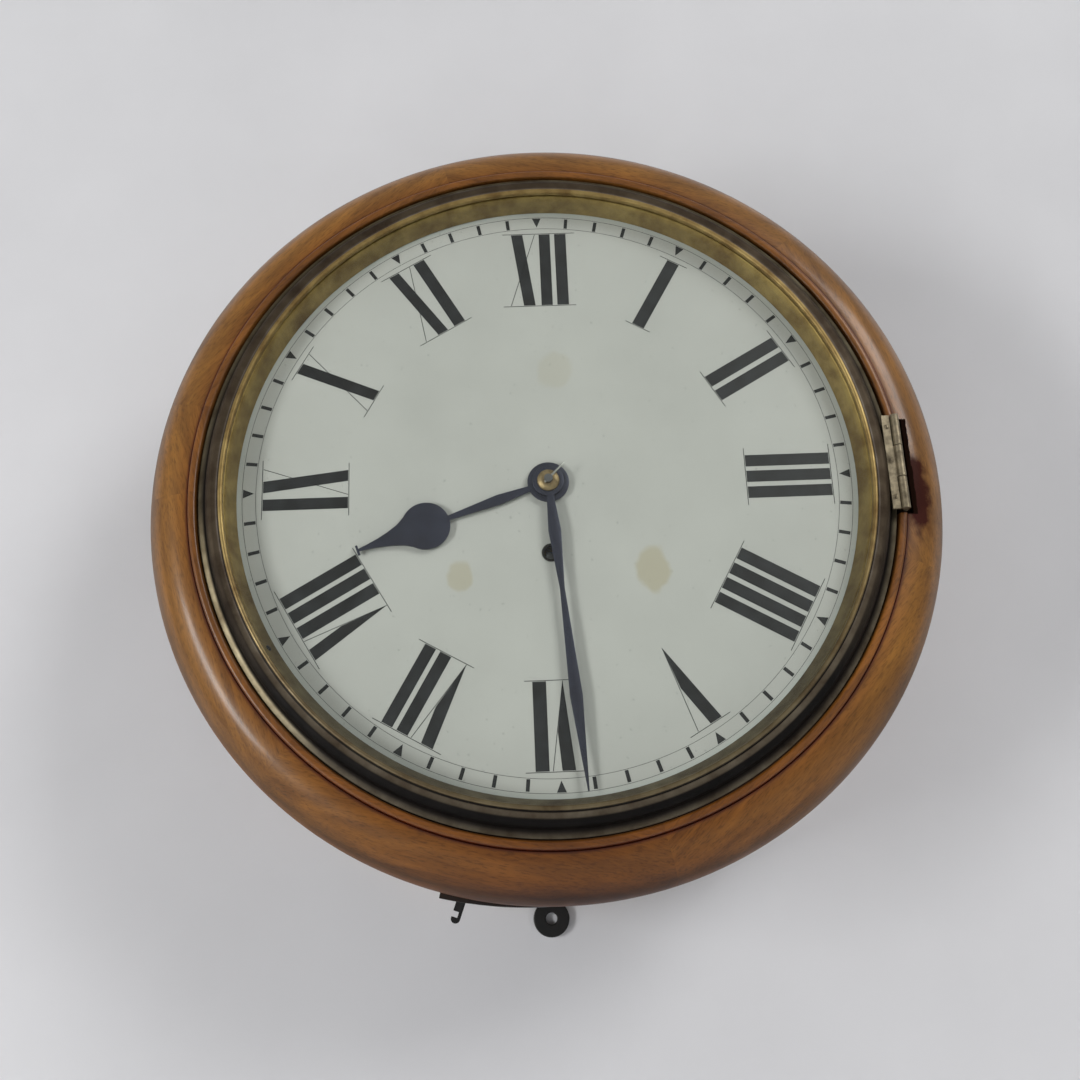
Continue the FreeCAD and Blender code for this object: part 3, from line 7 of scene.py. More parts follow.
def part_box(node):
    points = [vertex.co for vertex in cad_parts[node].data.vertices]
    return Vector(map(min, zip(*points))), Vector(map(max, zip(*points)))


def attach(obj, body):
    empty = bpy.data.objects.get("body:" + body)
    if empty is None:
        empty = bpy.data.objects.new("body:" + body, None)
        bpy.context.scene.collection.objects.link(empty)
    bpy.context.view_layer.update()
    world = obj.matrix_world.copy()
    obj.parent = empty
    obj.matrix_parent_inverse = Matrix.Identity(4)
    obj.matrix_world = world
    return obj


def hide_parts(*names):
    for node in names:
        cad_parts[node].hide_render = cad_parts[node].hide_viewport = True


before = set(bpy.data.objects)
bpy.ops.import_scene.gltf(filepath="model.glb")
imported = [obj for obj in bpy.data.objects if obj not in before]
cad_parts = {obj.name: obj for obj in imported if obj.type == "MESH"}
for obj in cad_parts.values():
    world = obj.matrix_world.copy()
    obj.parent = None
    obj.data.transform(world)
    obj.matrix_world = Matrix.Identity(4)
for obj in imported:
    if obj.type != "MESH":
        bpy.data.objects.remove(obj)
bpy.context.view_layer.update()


# Case boards: the box behind the surround, with its curved bottom and its two doors.
# Planed beech, stained and polished on the outside, butted together and pegged.
# Handling has eased every corner, so each board is the sawn shape with a small bevel.
MM = 0.001
glaze = {"data_type": "RGBA", "blend_type": "MULTIPLY"}
cover = {"data_type": "RGBA"}


def linear(text):
    """A colour written as sRGB hex, turned to linear."""
    parts = [int(text[i:i + 2], 16) / 255 for i in (0, 2, 4)]
    return [p / 12.92 if p <= 0.04045 else ((p + 0.055) / 1.055) ** 2.4 for p in parts] + [1.0]


def add(tree, kind, inputs=None, stops=None, **settings):
    """Add a node: set its properties, fill or link its inputs, and place a ramp's stops."""
    node = tree.nodes.new(kind)
    for key, value in settings.items():
        setattr(node, key, value)
    for key, value in (inputs or {}).items():
        if isinstance(value, bpy.types.NodeSocket):
            tree.links.new(value, node.inputs[key])
        else:
            node.inputs[key].default_value = value
    if stops:
        ramp = node.color_ramp.elements
        while len(ramp) < len(stops):
            ramp.new(0.5)
        for element, (position, colour) in zip(ramp, stops):
            element.position = position
            element.color = colour
    return node


def grey(level):
    return [level, level, level, 1.0]


def surface(name, **sockets):
    """A material with one shader whose plain numbers sit on its own sockets."""
    material = bpy.data.materials.new(name)
    material.use_nodes = True
    tree = material.node_tree
    tree.nodes.clear()
    shader = add(tree, "ShaderNodeBsdfPrincipled", {k.replace("_", " "): v for k, v in sockets.items()})
    add(tree, "ShaderNodeOutputMaterial", {"Surface": shader.outputs["BSDF"]})
    return material, tree, shader


def lay_finish(tree, shader, colour, rough, relief=None):
    """Link a finish's colour, its roughness and the relief of its surface to the shader."""
    tree.links.new(colour, shader.inputs["Base Color"])
    tree.links.new(rough, shader.inputs["Roughness"])
    if relief:
        tree.links.new(relief, shader.inputs["Normal"])


def wood(name, light, dark, along, place="Object", stain_and_shade=None):
    """Stained beech under old polish: slow bands of tone, short dark flecks, and duller worn patches."""
    coat_weight = 0.3
    shine = 0.22
    material, tree, shader = surface(
        name, Coat_Weight=coat_weight, Coat_Roughness=0.18, Specular_IOR_Level=shine)
    if place == "Object":
        where = add(tree, "ShaderNodeTexCoord").outputs["Object"]
    else:
        where = add(tree, "ShaderNodeAttribute", attribute_name=place).outputs["Vector"]

    def fibres(long, wide):
        scale = [1 / ((long if axis == along else wide) * MM) for axis in "XYZ"]
        return add(tree, "ShaderNodeMapping", {"Vector": where, "Scale": scale}).outputs[0]

    bands = add(tree, "ShaderNodeTexNoise", {
        "Vector": fibres(90, 7), "Scale": 1.0, "Detail": 5.0, "Roughness": 0.62, "Distortion": 0.3})
    # Beech flecks are about 0.3 mm wide. They are drawn twice as wide, so that they show.
    flecks = add(tree, "ShaderNodeTexNoise", {
        "Vector": fibres(4.0, 0.6), "Scale": 1.0, "Detail": 2.0, "Roughness": 0.5})
    wear = add(tree, "ShaderNodeTexNoise", {"Vector": where, "Scale": 1 / (45 * MM), "Detail": 4.0})
    tone = add(tree, "ShaderNodeValToRGB", {"Fac": bands.outputs["Fac"]},
               stops=[(0.34, linear(dark)), (0.66, linear(light))])
    fleck_tone = add(tree, "ShaderNodeValToRGB", {"Fac": flecks.outputs["Fac"]},
                     stops=[(0.33, grey(0.68)), (0.47, grey(0.97)), (0.75, grey(1.08))])
    wear_tone = add(tree, "ShaderNodeValToRGB", {"Fac": wear.outputs["Fac"]},
                    stops=[(0.3, grey(0.82)), (0.6, grey(1.04))])
    colour = add(tree, "ShaderNodeMix", {
        0: 1.0, 6: tone.outputs[0], 7: fleck_tone.outputs[0]}, **glaze).outputs[2]
    colour = add(tree, "ShaderNodeMix", {0: 1.0, 6: colour, 7: wear_tone.outputs[0]}, **glaze).outputs[2]
    # Stains and painted shade, when given, change the colour and set where the shine is kept.
    if stain_and_shade:
        colour, clean = stain_and_shade(tree, colour)
        for socket, most in (("Specular IOR Level", shine), ("Coat Weight", coat_weight)):
            left = add(tree, "ShaderNodeMapRange", {0: clean, 1: 0.0, 2: 1.0, 3: 0.0, 4: most})
            tree.links.new(left.outputs[0], shader.inputs[socket])
    rough = add(tree, "ShaderNodeMapRange", {0: wear.outputs["Fac"], 1: 0.3, 2: 0.7, 3: 0.5, 4: 0.34})
    relief = add(tree, "ShaderNodeBump", {
        "Height": flecks.outputs["Fac"], "Strength": 0.25, "Distance": 0.1 * MM})
    lay_finish(tree, shader, colour, rough.outputs[0], relief.outputs[0])
    return material


def piece(name, bm, body, material, replaced=(), sharp=35):
    """Turn a finished bmesh into a piece that rides on a body, smooth except at its sharp edges."""
    mesh = bpy.data.meshes.new(name)
    bm.to_mesh(mesh)
    bm.free()
    mesh.polygons.foreach_set("use_smooth", [True] * len(mesh.polygons))
    mesh.set_sharp_from_angle(angle=math.radians(sharp))
    mesh.materials.append(material)
    item = bpy.data.objects.new(name, mesh)
    bpy.context.scene.collection.objects.link(item)
    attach(item, body)
    if replaced:
        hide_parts(*replaced)
    return item


def eased(node, body, material, width):
    """The sawn or cut piece with its sharp edges bevelled by a width in mm."""
    bm = bmesh.new()
    bm.from_mesh(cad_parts[node].data)
    bmesh.ops.remove_doubles(bm, verts=bm.verts, dist=0.002 * MM)
    bmesh.ops.dissolve_limit(bm, angle_limit=math.radians(1), verts=bm.verts, edges=bm.edges)
    edges = [e for e in bm.edges if len(e.link_faces) == 2 and e.calc_face_angle() > math.radians(40)]
    bmesh.ops.bevel(bm, geom=edges, offset=width * MM, offset_type="OFFSET", affect="EDGES", segments=2,
                    profile=0.5, material=-1, clamp_overlap=True)
    return piece(f"{node}_eased", bm, body, material, [node], sharp=20)


# Stained beech shows red-brown bands and short flecks under a soft, patchy shine.
upright_wood = wood("stained_beech_upright", "6E4724", "4A2D16", "Z")
level_wood = wood("stained_beech_level", "6E4724", "4A2D16", "X")
# The blackened bottom is nearly black, so only its shine tells the curve of the boards.
bottom_wood = wood("blackened_beech_bottom", "2B1D13", "1A110B", "X")
# The bare pine of the back is grey-brown, with long straight bands.
bare_wood = wood("bare_pine_back", "A58A66", "7F6445", "Z")
board_ease = 0.7
peg_ease = 0.8
for node, material, slot, body in (
        ("left_side_board", upright_wood, "case_wood", "case"),
        ("right_side_board", upright_wood, "case_wood", "case"),
        ("top_board", level_wood, "case_wood", "case"),
        ("bottom_left_segment", bottom_wood, "case_wood", "case"),
        ("bottom_right_segment", bottom_wood, "case_wood", "case"),
        ("backboard", bare_wood, "back_wood", "case"),
        ("surround_battens", bare_wood, "back_wood", "case"),
        ("side_door", upright_wood, "case_wood", "side_door"),
        ("bottom_door", bottom_wood, "case_wood", "bottom_door")):
    eased(node, body, material, board_ease)
eased("case_pegs", "case", level_wood, peg_ease)


# Wall fixings: the hanging plate inside the back and the steadying lug below it.
# Black-painted iron strip, cut, drilled and filed, each held by countersunk wood screws.
def metal(name, bright, dull, rough, metallic, grain=3.0, patina=0.5):
    """Worked metal: a tone that drifts with handling, fine scratches and a patchy polish."""
    material, tree, shader = surface(name, Metallic=metallic)
    where = add(tree, "ShaderNodeTexCoord").outputs["Object"]
    patches = add(tree, "ShaderNodeTexNoise", {
        "Vector": where, "Scale": 1 / (grain * 4 * MM), "Detail": 6.0, "Roughness": 0.65})
    # Hairline scratches are drawn 0.5 mm wide, about ten times too coarse, so that they show.
    along = add(tree, "ShaderNodeMapping", {
        "Vector": where, "Scale": [1 / (0.5 * MM), 1 / (0.5 * MM), 1 / (grain * MM)]})
    scratches = add(tree, "ShaderNodeTexNoise", {"Vector": along.outputs[0], "Scale": 1.0, "Detail": 2.0})
    tone = add(tree, "ShaderNodeValToRGB", {"Fac": patches.outputs["Fac"]},
               stops=[(patina - 0.2, linear(dull)), (patina + 0.2, linear(bright))])
    polish = add(tree, "ShaderNodeMapRange", {
        0: patches.outputs["Fac"], 1: 0.3, 2: 0.7, 3: rough + 0.12, 4: rough - 0.08})
    relief = add(tree, "ShaderNodeBump", {
        "Height": scratches.outputs["Fac"], "Strength": 0.15, "Distance": 0.03 * MM})
    lay_finish(tree, shader, tone.outputs[0], polish.outputs[0], relief.outputs[0])
    return material


def join_in(bm, part):
    """Add a finished bmesh to another one."""
    store = bpy.data.meshes.new("part")
    part.to_mesh(store)
    part.free()
    bm.from_mesh(store)
    bpy.data.meshes.remove(store)


def screw(bm, at, facing, radius, turn, dome):
    """A countersunk slotted head: a low dome parted by its slot, on a flat seat.
    Its outline is given as (out, up) in shares of the head's radius."""
    outline = ((0, -0.12), (1.0, -0.12), (1.0, 0.06 * dome), (0.86, 0.17 * dome), (0.45, 0.26 * dome),
               (0, 0.29 * dome))
    half_slot = radius * 0.14
    sides = 16
    head = bmesh.new()
    for side in (1, -1):
        half = bmesh.new()
        rim = [half.verts.new((out * radius, -up * radius, 0)) for out, up in outline]
        edges = [half.edges.new(pair) for pair in zip(rim, rim[1:])]
        bmesh.ops.spin(half, geom=rim + edges, cent=(0, 0, 0), axis=(0, 1, 0), dvec=(0, 0, 0),
                       angle=math.tau, steps=sides, use_merge=True)
        bmesh.ops.remove_doubles(half, verts=half.verts, dist=radius * 0.01)
        bmesh.ops.bisect_plane(half, geom=half.verts[:] + half.edges[:] + half.faces[:],
                               plane_co=(half_slot * side, 0, 0), plane_no=(side, 0, 0), clear_inner=True)
        bmesh.ops.holes_fill(half, edges=[e for e in half.edges if e.is_boundary], sides=0)
        bmesh.ops.recalc_face_normals(half, faces=half.faces)
        join_in(head, half)
    seat = bmesh.ops.create_circle(head, cap_ends=True, segments=sides, radius=radius * 0.98)
    bmesh.ops.rotate(head, verts=seat["verts"], cent=(0, 0, 0), matrix=Matrix.Rotation(math.pi / 2, 3, "X"))
    bmesh.ops.rotate(head, verts=head.verts, cent=(0, 0, 0), matrix=Matrix.Rotation(turn, 3, "Y"))
    swing = Vector((0, -1, 0)).rotation_difference(Vector(facing)).to_matrix()
    bmesh.ops.rotate(head, verts=head.verts, cent=(0, 0, 0), matrix=swing)
    bmesh.ops.translate(head, verts=head.verts, vec=Vector(at) * MM)
    join_in(bm, head)


def screws(name, body, material, radius, facing, places, dome=1.0):
    """Screw heads of one size, each left with its slot at a turn of its own."""
    bm = bmesh.new()
    for i, place in enumerate(places):
        screw(bm, place, facing, radius * MM, 0.4 + i * 1.3, dome)
    return piece(name, bm, body, material)


# Old black paint on iron shows next to no colour, and a broad weak shine on its edges.
black_iron = metal("black_painted_iron", "1C1B1A", "0D0C0C", 0.5, 0.35)
# Filed steel is a plain grey with a bright shine that the file marks break up.
steel = metal("filed_steel", "8C8C8E", "6C6B6B", 0.34, 0.95)
lug_ease = 0.5
plate_ease = 0.4
eased("bottom_lug", "case", black_iron, lug_ease)
eased("hanging_plate", "case", black_iron, plate_ease)
screws("hanging_plate_screws", "case", steel, 3, (0, -1, 0), [(-18, -15, 94), (18, -15, 94)])
# The lug's screws lie nearly flush, since the lug's back rests on the wall.
screws("lug_screws", "case", steel, 2.6, (0, 1, 0), [(-4.5, 0, -166), (-4.5, 0, -178)], dome=0.2)


# Door furniture: butt hinges, a turn button and the hook that keeps the bottom door shut.
# The hinges and button are brass, stamped and drilled. The hook and its two pins are black iron.
# Handled brass is brown and half dull, and yellower where fingers rub it.
case_brass = metal("dull_case_brass", "8A7650", "5E4F38", 0.4, 0.8)
hinge_ease = 0.25
hook_ease = 0.3
for node, body in (("side_door_hinge_leaves", "side_door"), ("side_door_hinge_fixed", "case"),
                   ("bottom_door_hinge_leaf", "bottom_door"), ("bottom_door_hinge_fixed", "case"),
                   ("side_door_button", "side_button")):
    eased(node, body, case_brass, hinge_ease)
for node, body in (("bottom_door_hook", "hook"), ("hook_pin", "bottom_door"), ("hook_stud", "case")):
    eased(node, body, black_iron, hook_ease)
hinge_rows = (-46, -30, 30, 46)
screws("side_fixed_screws", "case", case_brass, 1.6, (1, 0, 0),
       [(121, -19, z) for z in hinge_rows])
screws("side_leaf_screws", "side_door", case_brass, 1.6, (1, 0, 0),
       [(121, -33.6, z) for z in hinge_rows])
screws("button_screw", "side_button", case_brass, 2.4, (1, 0, 0), [(124.3, -87.2, 0)])


# Movement: brass plates and wheels on steel arbors between four pillars.
# The brass is rolled, cut and lightly polished. The steel is turned, hardened and polished.
def dress(node, material):
    """Give a piece that keeps its own shape its finish."""
    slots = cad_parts[node].data.materials
    slots.clear()
    slots.append(material)


# Polished clock brass is a warm yellow with clear, slightly patchy reflections.
movement_brass = metal("polished_clock_brass", "C2A05A", "9A7B42", 0.3, 1.0)
for node in ("front_plate", "back_plate", "plate_pillars", "back_cock", "cannon_pinion", "hour_wheel",
             "minute_wheel", "centre_wheel", "third_wheel", "escape_wheel", "great_wheel", "fusee", "barrel",
             "rating_nut"):
    dress(node, movement_brass)
for node in ("centre_arbor", "third_arbor", "escape_arbor", "fusee_arbor", "barrel_arbor", "mainspring",
             "pallets", "pallet_arbor", "crutch", "suspension_spring", "pendulum_rod", "dial_feet",
             "fusee_line"):
    dress(node, steel)


# Pendulum bob: a lead-filled brass lens that slides on the rod and rests on the rating nut.
# It is spun from two shallow dishes, closed round the edge and polished like the plates.
def turned(corners, rounds=(), steps=192, x=0.0, z=0.0):
    """Spin a closed outline of (radius, depth) corners about the dial's axis, then round the rings
    given as (radius, depth, width, segments)."""
    bm = bmesh.new()
    ring = [bm.verts.new((radius * MM, -depth * MM, 0)) for radius, depth in corners]
    edges = [bm.edges.new((a, b)) for a, b in zip(ring, ring[1:] + ring[:1]) if a.co.x + b.co.x > 0]
    bmesh.ops.spin(bm, geom=ring + edges, cent=(0, 0, 0), axis=(0, 1, 0), dvec=(0, 0, 0), angle=math.tau,
                   steps=steps, use_merge=True)
    bmesh.ops.remove_doubles(bm, verts=bm.verts, dist=0.001 * MM)
    for radius, depth, width, segments in rounds:
        near = {v for v in bm.verts if abs(v.co.y + depth * MM) < 0.01 * MM
                and abs(math.hypot(v.co.x, v.co.z) - radius * MM) < 0.01 * MM}
        edges = [e for e in bm.edges if e.verts[0] in near and e.verts[1] in near]
        bmesh.ops.bevel(bm, geom=edges, offset=width * MM, offset_type="OFFSET", affect="EDGES",
                        segments=segments, profile=0.5, material=-1, clamp_overlap=False)
    bmesh.ops.recalc_face_normals(bm, faces=bm.faces)
    bmesh.ops.translate(bm, verts=bm.verts, vec=(x * MM, 0, z * MM))
    return bm


bob_low, bob_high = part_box("pendulum_bob")
bob_depth = -(bob_low.y + bob_high.y) / 2 / MM
bob_z = (bob_low.z + bob_high.z) / 2 / MM
bob_radius = 25
rim_half = 1.5
bulge = 6.5
rings = 10
lens = [(bob_radius * i / rings, bob_depth - rim_half - bulge * (1 - (i / rings) ** 2))
        for i in range(rings + 1)]
lens += [(radius, bob_depth * 2 - depth) for radius, depth in lens[::-1]]
piece("pendulum_bob_lens", turned(lens, steps=96, z=bob_z), "pendulum", movement_brass, ["pendulum_bob"])


# Surround: the turned wooden ring that holds the dial and carries the bezel.
# Six sawn beech segments glued up and turned, then stained and polished. Polish wears on the crown.
# The cut line beside the bead is darker and redder, and the rebate and the crown's outer edge carry painted
# shade.
surround_corners = [(139.5, 108), (139.5, 128.8), (165.2, 128.8), (165.2, 136.0), (169.4, 136.0),
                    (169.4, 134.2), (169.7, 132.8), (170.0, 133.5), (192.4, 133.5), (192.4, 108)]
surround_rounds = [(192.4, 133.5, 21.9, 16), (192.4, 108, 3.4, 4), (165.2, 136.0, 1.7, 4),
                   (169.4, 136.0, 1.5, 4)]


def from_centre(tree):
    """Where a point is, its axes, its place on the plane of the dial, and its radius there."""
    where = add(tree, "ShaderNodeTexCoord").outputs["Object"]
    axes = add(tree, "ShaderNodeSeparateXYZ", {0: where}).outputs
    flat = add(tree, "ShaderNodeCombineXYZ", {0: axes[0], 2: axes[2]}).outputs[0]
    radius = add(tree, "ShaderNodeVectorMath", {0: flat}, operation="LENGTH").outputs["Value"]
    return where, axes, flat, radius


def surround_stain_and_shade(tree, colour):
    """A darker, redder cut line, painted shade in the rebate and on the crown's outer edge, a redder stain
    beside the hinge, a black painted shadow in its mortise and beside it, and painted shade, darker and
    browner, towards the bottom. The second result is 1 where the polish is clean."""
    where, axes, flat, radius = from_centre(tree)
    across = add(tree, "ShaderNodeMapRange", {0: radius, 1: 160 * MM, 2: 195 * MM, 3: 0.0, 4: 1.0})
    # Across the ring: painted shade in the rebate and on the crown's outer edge, a redder bead and a darker
    # cut line.
    ring_tones_and_shade = add(tree, "ShaderNodeValToRGB", {"Fac": across.outputs[0]}, stops=[
        (0.13, grey(0.35)), (0.17, linear("EADAD8")), (0.25, linear("EADAD8")), (0.268, linear("A05E44")),
        (0.285, linear("A05E44")), (0.32, linear("F2E6E0")), (0.5, grey(1.0)), (0.72, grey(1.0)),
        (0.86, grey(0.55))])
    front = add(tree, "ShaderNodeMapRange", {
        0: axes[1], 1: -112 * MM, 2: -122 * MM, 3: 0.0, 4: 1.0}).outputs[0]
    colour = add(tree, "ShaderNodeMix", {0: front, 6: colour, 7: ring_tones_and_shade.outputs[0]}, **glaze).outputs[2]
    ragged = add(tree, "ShaderNodeTexNoise", {"Vector": where, "Scale": 1 / (7 * MM), "Detail": 4.0})
    hinge = add(tree, "ShaderNodeMapping", {
        "Vector": where, "Location": (-174.4 * MM, 0, 4.6 * MM), "Scale": (1.0, 0.0, 0.36)})
    away = add(tree, "ShaderNodeVectorMath", {0: hinge.outputs[0]}, operation="LENGTH").outputs["Value"]
    spot = add(tree, "ShaderNodeMath", {0: ragged.outputs["Fac"], 1: 9 * MM, 2: away},
               operation="MULTIPLY_ADD")
    stain = add(tree, "ShaderNodeMapRange", {0: spot.outputs[0], 1: 9.6 * MM, 2: 13.2 * MM, 3: 0.95, 4: 0.0})
    stain = add(tree, "ShaderNodeMath", {0: stain.outputs[0], 1: front}, operation="MULTIPLY").outputs[0]
    colour = add(tree, "ShaderNodeMix", {0: stain, 6: colour, 7: linear("3A1C1B")}, **cover).outputs[2]
    # Painted shadow: near black in the hinge's mortise and in a ragged gap beside it.
    level = add(tree, "ShaderNodeMath", {0: axes[2], 1: 1.5 * MM, 2: 24.2 * MM}, operation="COMPARE")
    edge = add(tree, "ShaderNodeMath", {0: ragged.outputs["Fac"], 1: -2.4 * MM, 2: axes[0]},
               operation="MULTIPLY_ADD")
    beside = add(tree, "ShaderNodeMath", {0: edge.outputs[0], 1: 165 * MM, 2: 7.4 * MM}, operation="COMPARE")
    painted_gap_shadow = add(tree, "ShaderNodeMath", {0: level.outputs[0], 1: beside.outputs[0]}, operation="MULTIPLY")
    painted_gap_shadow = add(tree, "ShaderNodeMath", {0: painted_gap_shadow.outputs[0], 1: front}, operation="MULTIPLY").outputs[0]
    colour = add(tree, "ShaderNodeMix", {0: painted_gap_shadow, 6: colour, 7: linear("1E120D")}, **cover).outputs[2]
    # Painted shade: the ring grows darker and browner towards the bottom, which turns from the light.
    low = add(tree, "ShaderNodeMapRange", {0: axes[2], 1: -90 * MM, 2: -190 * MM, 3: 0.0, 4: 1.0})
    painted_lower_shade = add(tree, "ShaderNodeValToRGB", {"Fac": low.outputs[0]}, stops=[
        (0.0, grey(1.0)), (0.7, linear("EADFC4")), (0.93, linear("C6AE86")), (1.0, linear("907250"))])
    colour = add(tree, "ShaderNodeMix", {0: 1.0, 6: colour, 7: painted_lower_shade.outputs[0]}, **glaze).outputs[2]
    clean = add(tree, "ShaderNodeMapRange", {0: radius, 1: 186 * MM, 2: 192 * MM, 3: 1.0, 4: 0.25}).outputs[0]
    for dark_mark in (painted_gap_shadow, stain):
        clean = add(tree, "ShaderNodeMath", {0: clean, 1: dark_mark},
                    operation="SUBTRACT", use_clamp=True).outputs[0]
    return colour, clean


def thicken(bm, faces, way, keep=False):
    """Raise flat faces into a slab."""
    raised = bmesh.ops.extrude_face_region(bm, geom=faces, use_keep_orig=keep)
    bmesh.ops.translate(bm, verts=[v for v in raised["geom"] if isinstance(v, bmesh.types.BMVert)], vec=way)


# Polished beech is a golden brown whose figure runs straight along each segment, under a soft deep shine.
surround_wood = wood("polished_turned_beech", "96662A", "70491C", "X", place="grain", stain_and_shade=surround_stain_and_shade)
surround = piece("turned_surround", turned(surround_corners, surround_rounds, steps=216), "case",
                 surround_wood, ["dial_surround"])
mortise_step = [(164.3, 124.2), (167.7, 124.2), (167.7, 128.8), (171.3, 128.8), (171.3, 150), (164.3, 150)]
mortise_foot = -22.3
mortise_length = 47.6
bm = bmesh.new()
face = bm.faces.new([bm.verts.new((x * MM, -depth * MM, mortise_foot * MM)) for x, depth in mortise_step])
thicken(bm, [face], (0, 0, mortise_length * MM))
bmesh.ops.recalc_face_normals(bm, faces=bm.faces)
chisel_mesh = bpy.data.meshes.new("mortise_chisel")
bm.to_mesh(chisel_mesh)
bm.free()
chisel = bpy.data.objects.new("mortise_chisel", chisel_mesh)
bpy.context.scene.collection.objects.link(chisel)
mortise = surround.modifiers.new("mortise", "BOOLEAN")
mortise.operation = "DIFFERENCE"
mortise.object = chisel
bpy.context.view_layer.update()
cut_mesh = bpy.data.meshes.new_from_object(surround.evaluated_get(bpy.context.evaluated_depsgraph_get()))
surround.modifiers.clear()
surround.data = cut_mesh
bpy.data.objects.remove(chisel)
segments = 6
first_joint = 0.04
grain = cut_mesh.attributes.new("grain", "FLOAT_VECTOR", "CORNER")
for face in cut_mesh.polygons:
    segment = math.floor((math.atan2(face.center.z, face.center.x) / math.tau + first_joint) * segments)
    middle = (segment + 0.5 - first_joint * segments) * math.tau / segments
    turn = Matrix.Rotation(middle - math.pi / 2, 3, "Y")
    for corner in face.loop_indices:
        spot = turn @ cut_mesh.vertices[cut_mesh.loops[corner].vertex_index].co
        grain.data[corner].vector = spot + Vector((segment * 0.37, segment * 0.21, segment * 0.11))


# Dial: a disc of sheet iron, painted white and baked, gone grey-green with age.
# It shows brown water marks, a dirty edge and tiny specks, and is held from behind by its feet.
water_marks = ((-42.5, -44.5, 6.5, 8.0, 0.5), (47.5, -44.0, 8.5, 11.5, 0.6), (5.5, 59.5, 10.0, 9.0, 0.22))


def dial_paint():
    """Aged white paint: soft mottling, pin specks, brown water marks and a cooler tone at the rim.
    Baked paint gives a flat pale face with a faint, even gloss."""
    material, tree, shader = surface("aged_dial_paint", IOR=1.5)
    where, axes, flat, radius = from_centre(tree)
    mottle = add(tree, "ShaderNodeTexNoise", {"Vector": where, "Scale": 1 / (40 * MM), "Detail": 5.0})
    # The specks are under 1 mm wide. They come from a 2.2 mm pattern, so that they show.
    specks = add(tree, "ShaderNodeTexNoise", {"Vector": where, "Scale": 1 / (2.2 * MM), "Detail": 1.0})
    tone = add(tree, "ShaderNodeValToRGB", {"Fac": mottle.outputs["Fac"]},
               stops=[(0.3, linear("BDBDB8")), (0.7, linear("C6C6C1"))])
    dots = add(tree, "ShaderNodeValToRGB", {"Fac": specks.outputs["Fac"]},
               stops=[(0.24, grey(0.72)), (0.3, grey(1.0))])
    colour = add(tree, "ShaderNodeMix", {0: 0.6, 6: tone.outputs[0], 7: dots.outputs[0]}, **glaze).outputs[2]
    rim = add(tree, "ShaderNodeMapRange", {0: radius, 1: 100 * MM, 2: 153 * MM, 3: 0.0, 4: 1.0})
    rim_tone = add(tree, "ShaderNodeValToRGB", {"Fac": rim.outputs[0]}, stops=[
        (0.0, grey(1.0)), (0.83, grey(0.98)), (0.88, linear("FBFFFF")), (1.0, linear("F4FAFF"))])
    colour = add(tree, "ShaderNodeMix", {0: 1.0, 6: colour, 7: rim_tone.outputs[0]}, **glaze).outputs[2]
    ragged = add(tree, "ShaderNodeTexNoise", {"Vector": where, "Scale": 1 / (9 * MM), "Detail": 3.0})
    for x, z, wide, tall, weight in water_marks:
        spot = add(tree, "ShaderNodeMapping", {
            "Vector": flat, "Location": (-x / wide, 0, -z / tall),
            "Scale": (1 / (wide * MM), 1, 1 / (tall * MM))})
        away = add(tree, "ShaderNodeVectorMath", {0: spot.outputs[0]}, operation="LENGTH").outputs["Value"]
        edge = add(tree, "ShaderNodeMath", {0: ragged.outputs["Fac"], 1: 0.9, 2: away},
                   operation="MULTIPLY_ADD")
        mark = add(tree, "ShaderNodeMapRange", {0: edge.outputs[0], 1: 1.25, 2: 1.5, 3: weight, 4: 0.0})
        colour = add(tree, "ShaderNodeMix", {
            0: mark.outputs[0], 6: colour, 7: linear("B3A888")}, **cover).outputs[2]
    rough = add(tree, "ShaderNodeMapRange", {0: mottle.outputs["Fac"], 1: 0.3, 2: 0.7, 3: 0.5, 4: 0.36})
    relief = add(tree, "ShaderNodeBump", {
        "Height": mottle.outputs["Fac"], "Strength": 0.1, "Distance": 0.2 * MM})
    lay_finish(tree, shader, colour, rough.outputs[0], relief.outputs[0])
    return material


dress("dial_plate", dial_paint())


# Dial print: Roman numerals, their hairline serifs and the minute track.
# Black enamel laid on the paint with a pen, so it stands just proud of the dial and is rubbed in places.
DIAL = 130.0
INK = 0.05
FOOT, HEAD, HAIR = 95.0, 135.2, 0.16


def enamel():
    """Black dial enamel: nearly black, with faint grey rubbing and a satin gloss."""
    material, tree, shader = surface("black_dial_enamel", IOR=1.5)
    where = add(tree, "ShaderNodeTexCoord").outputs["Object"]
    rub = add(tree, "ShaderNodeTexNoise", {"Vector": where, "Scale": 1 / (6 * MM), "Detail": 5.0})
    tone = add(tree, "ShaderNodeValToRGB", {"Fac": rub.outputs["Fac"]},
               stops=[(0.4, linear("090A0B")), (0.7, linear("1C1E21"))])
    rough = add(tree, "ShaderNodeMapRange", {0: rub.outputs["Fac"], 1: 0.3, 2: 0.7, 3: 0.36, 4: 0.55})
    lay_finish(tree, shader, tone.outputs[0], rough.outputs[0])
    return material


def lay(bm, shape, turn):
    """Lay one stroke, drawn upright at 12 o'clock as (x, radius) corners, at a clockwise turn."""
    angle = math.radians(turn)
    corners = [bm.verts.new(((x * math.cos(angle) + r * math.sin(angle)) * MM, -DIAL * MM,
                             (r * math.cos(angle) - x * math.sin(angle)) * MM)) for x, r in shape]
    thicken(bm, [bm.faces.new(corners)], (0, -INK * MM, 0))


def bar(x0, x1):
    return [(x0, FOOT), (x1, FOOT), (x1, HEAD), (x0, HEAD)]


def slant(top0, top1, foot0, foot1):
    return [(foot0, FOOT), (foot1, FOOT), (top1, HEAD), (top0, HEAD)]


def vee(top0, top1, bend, bend_at, apex):
    return [(apex, FOOT), (bend, bend_at), (top1, HEAD), (top0, HEAD)]


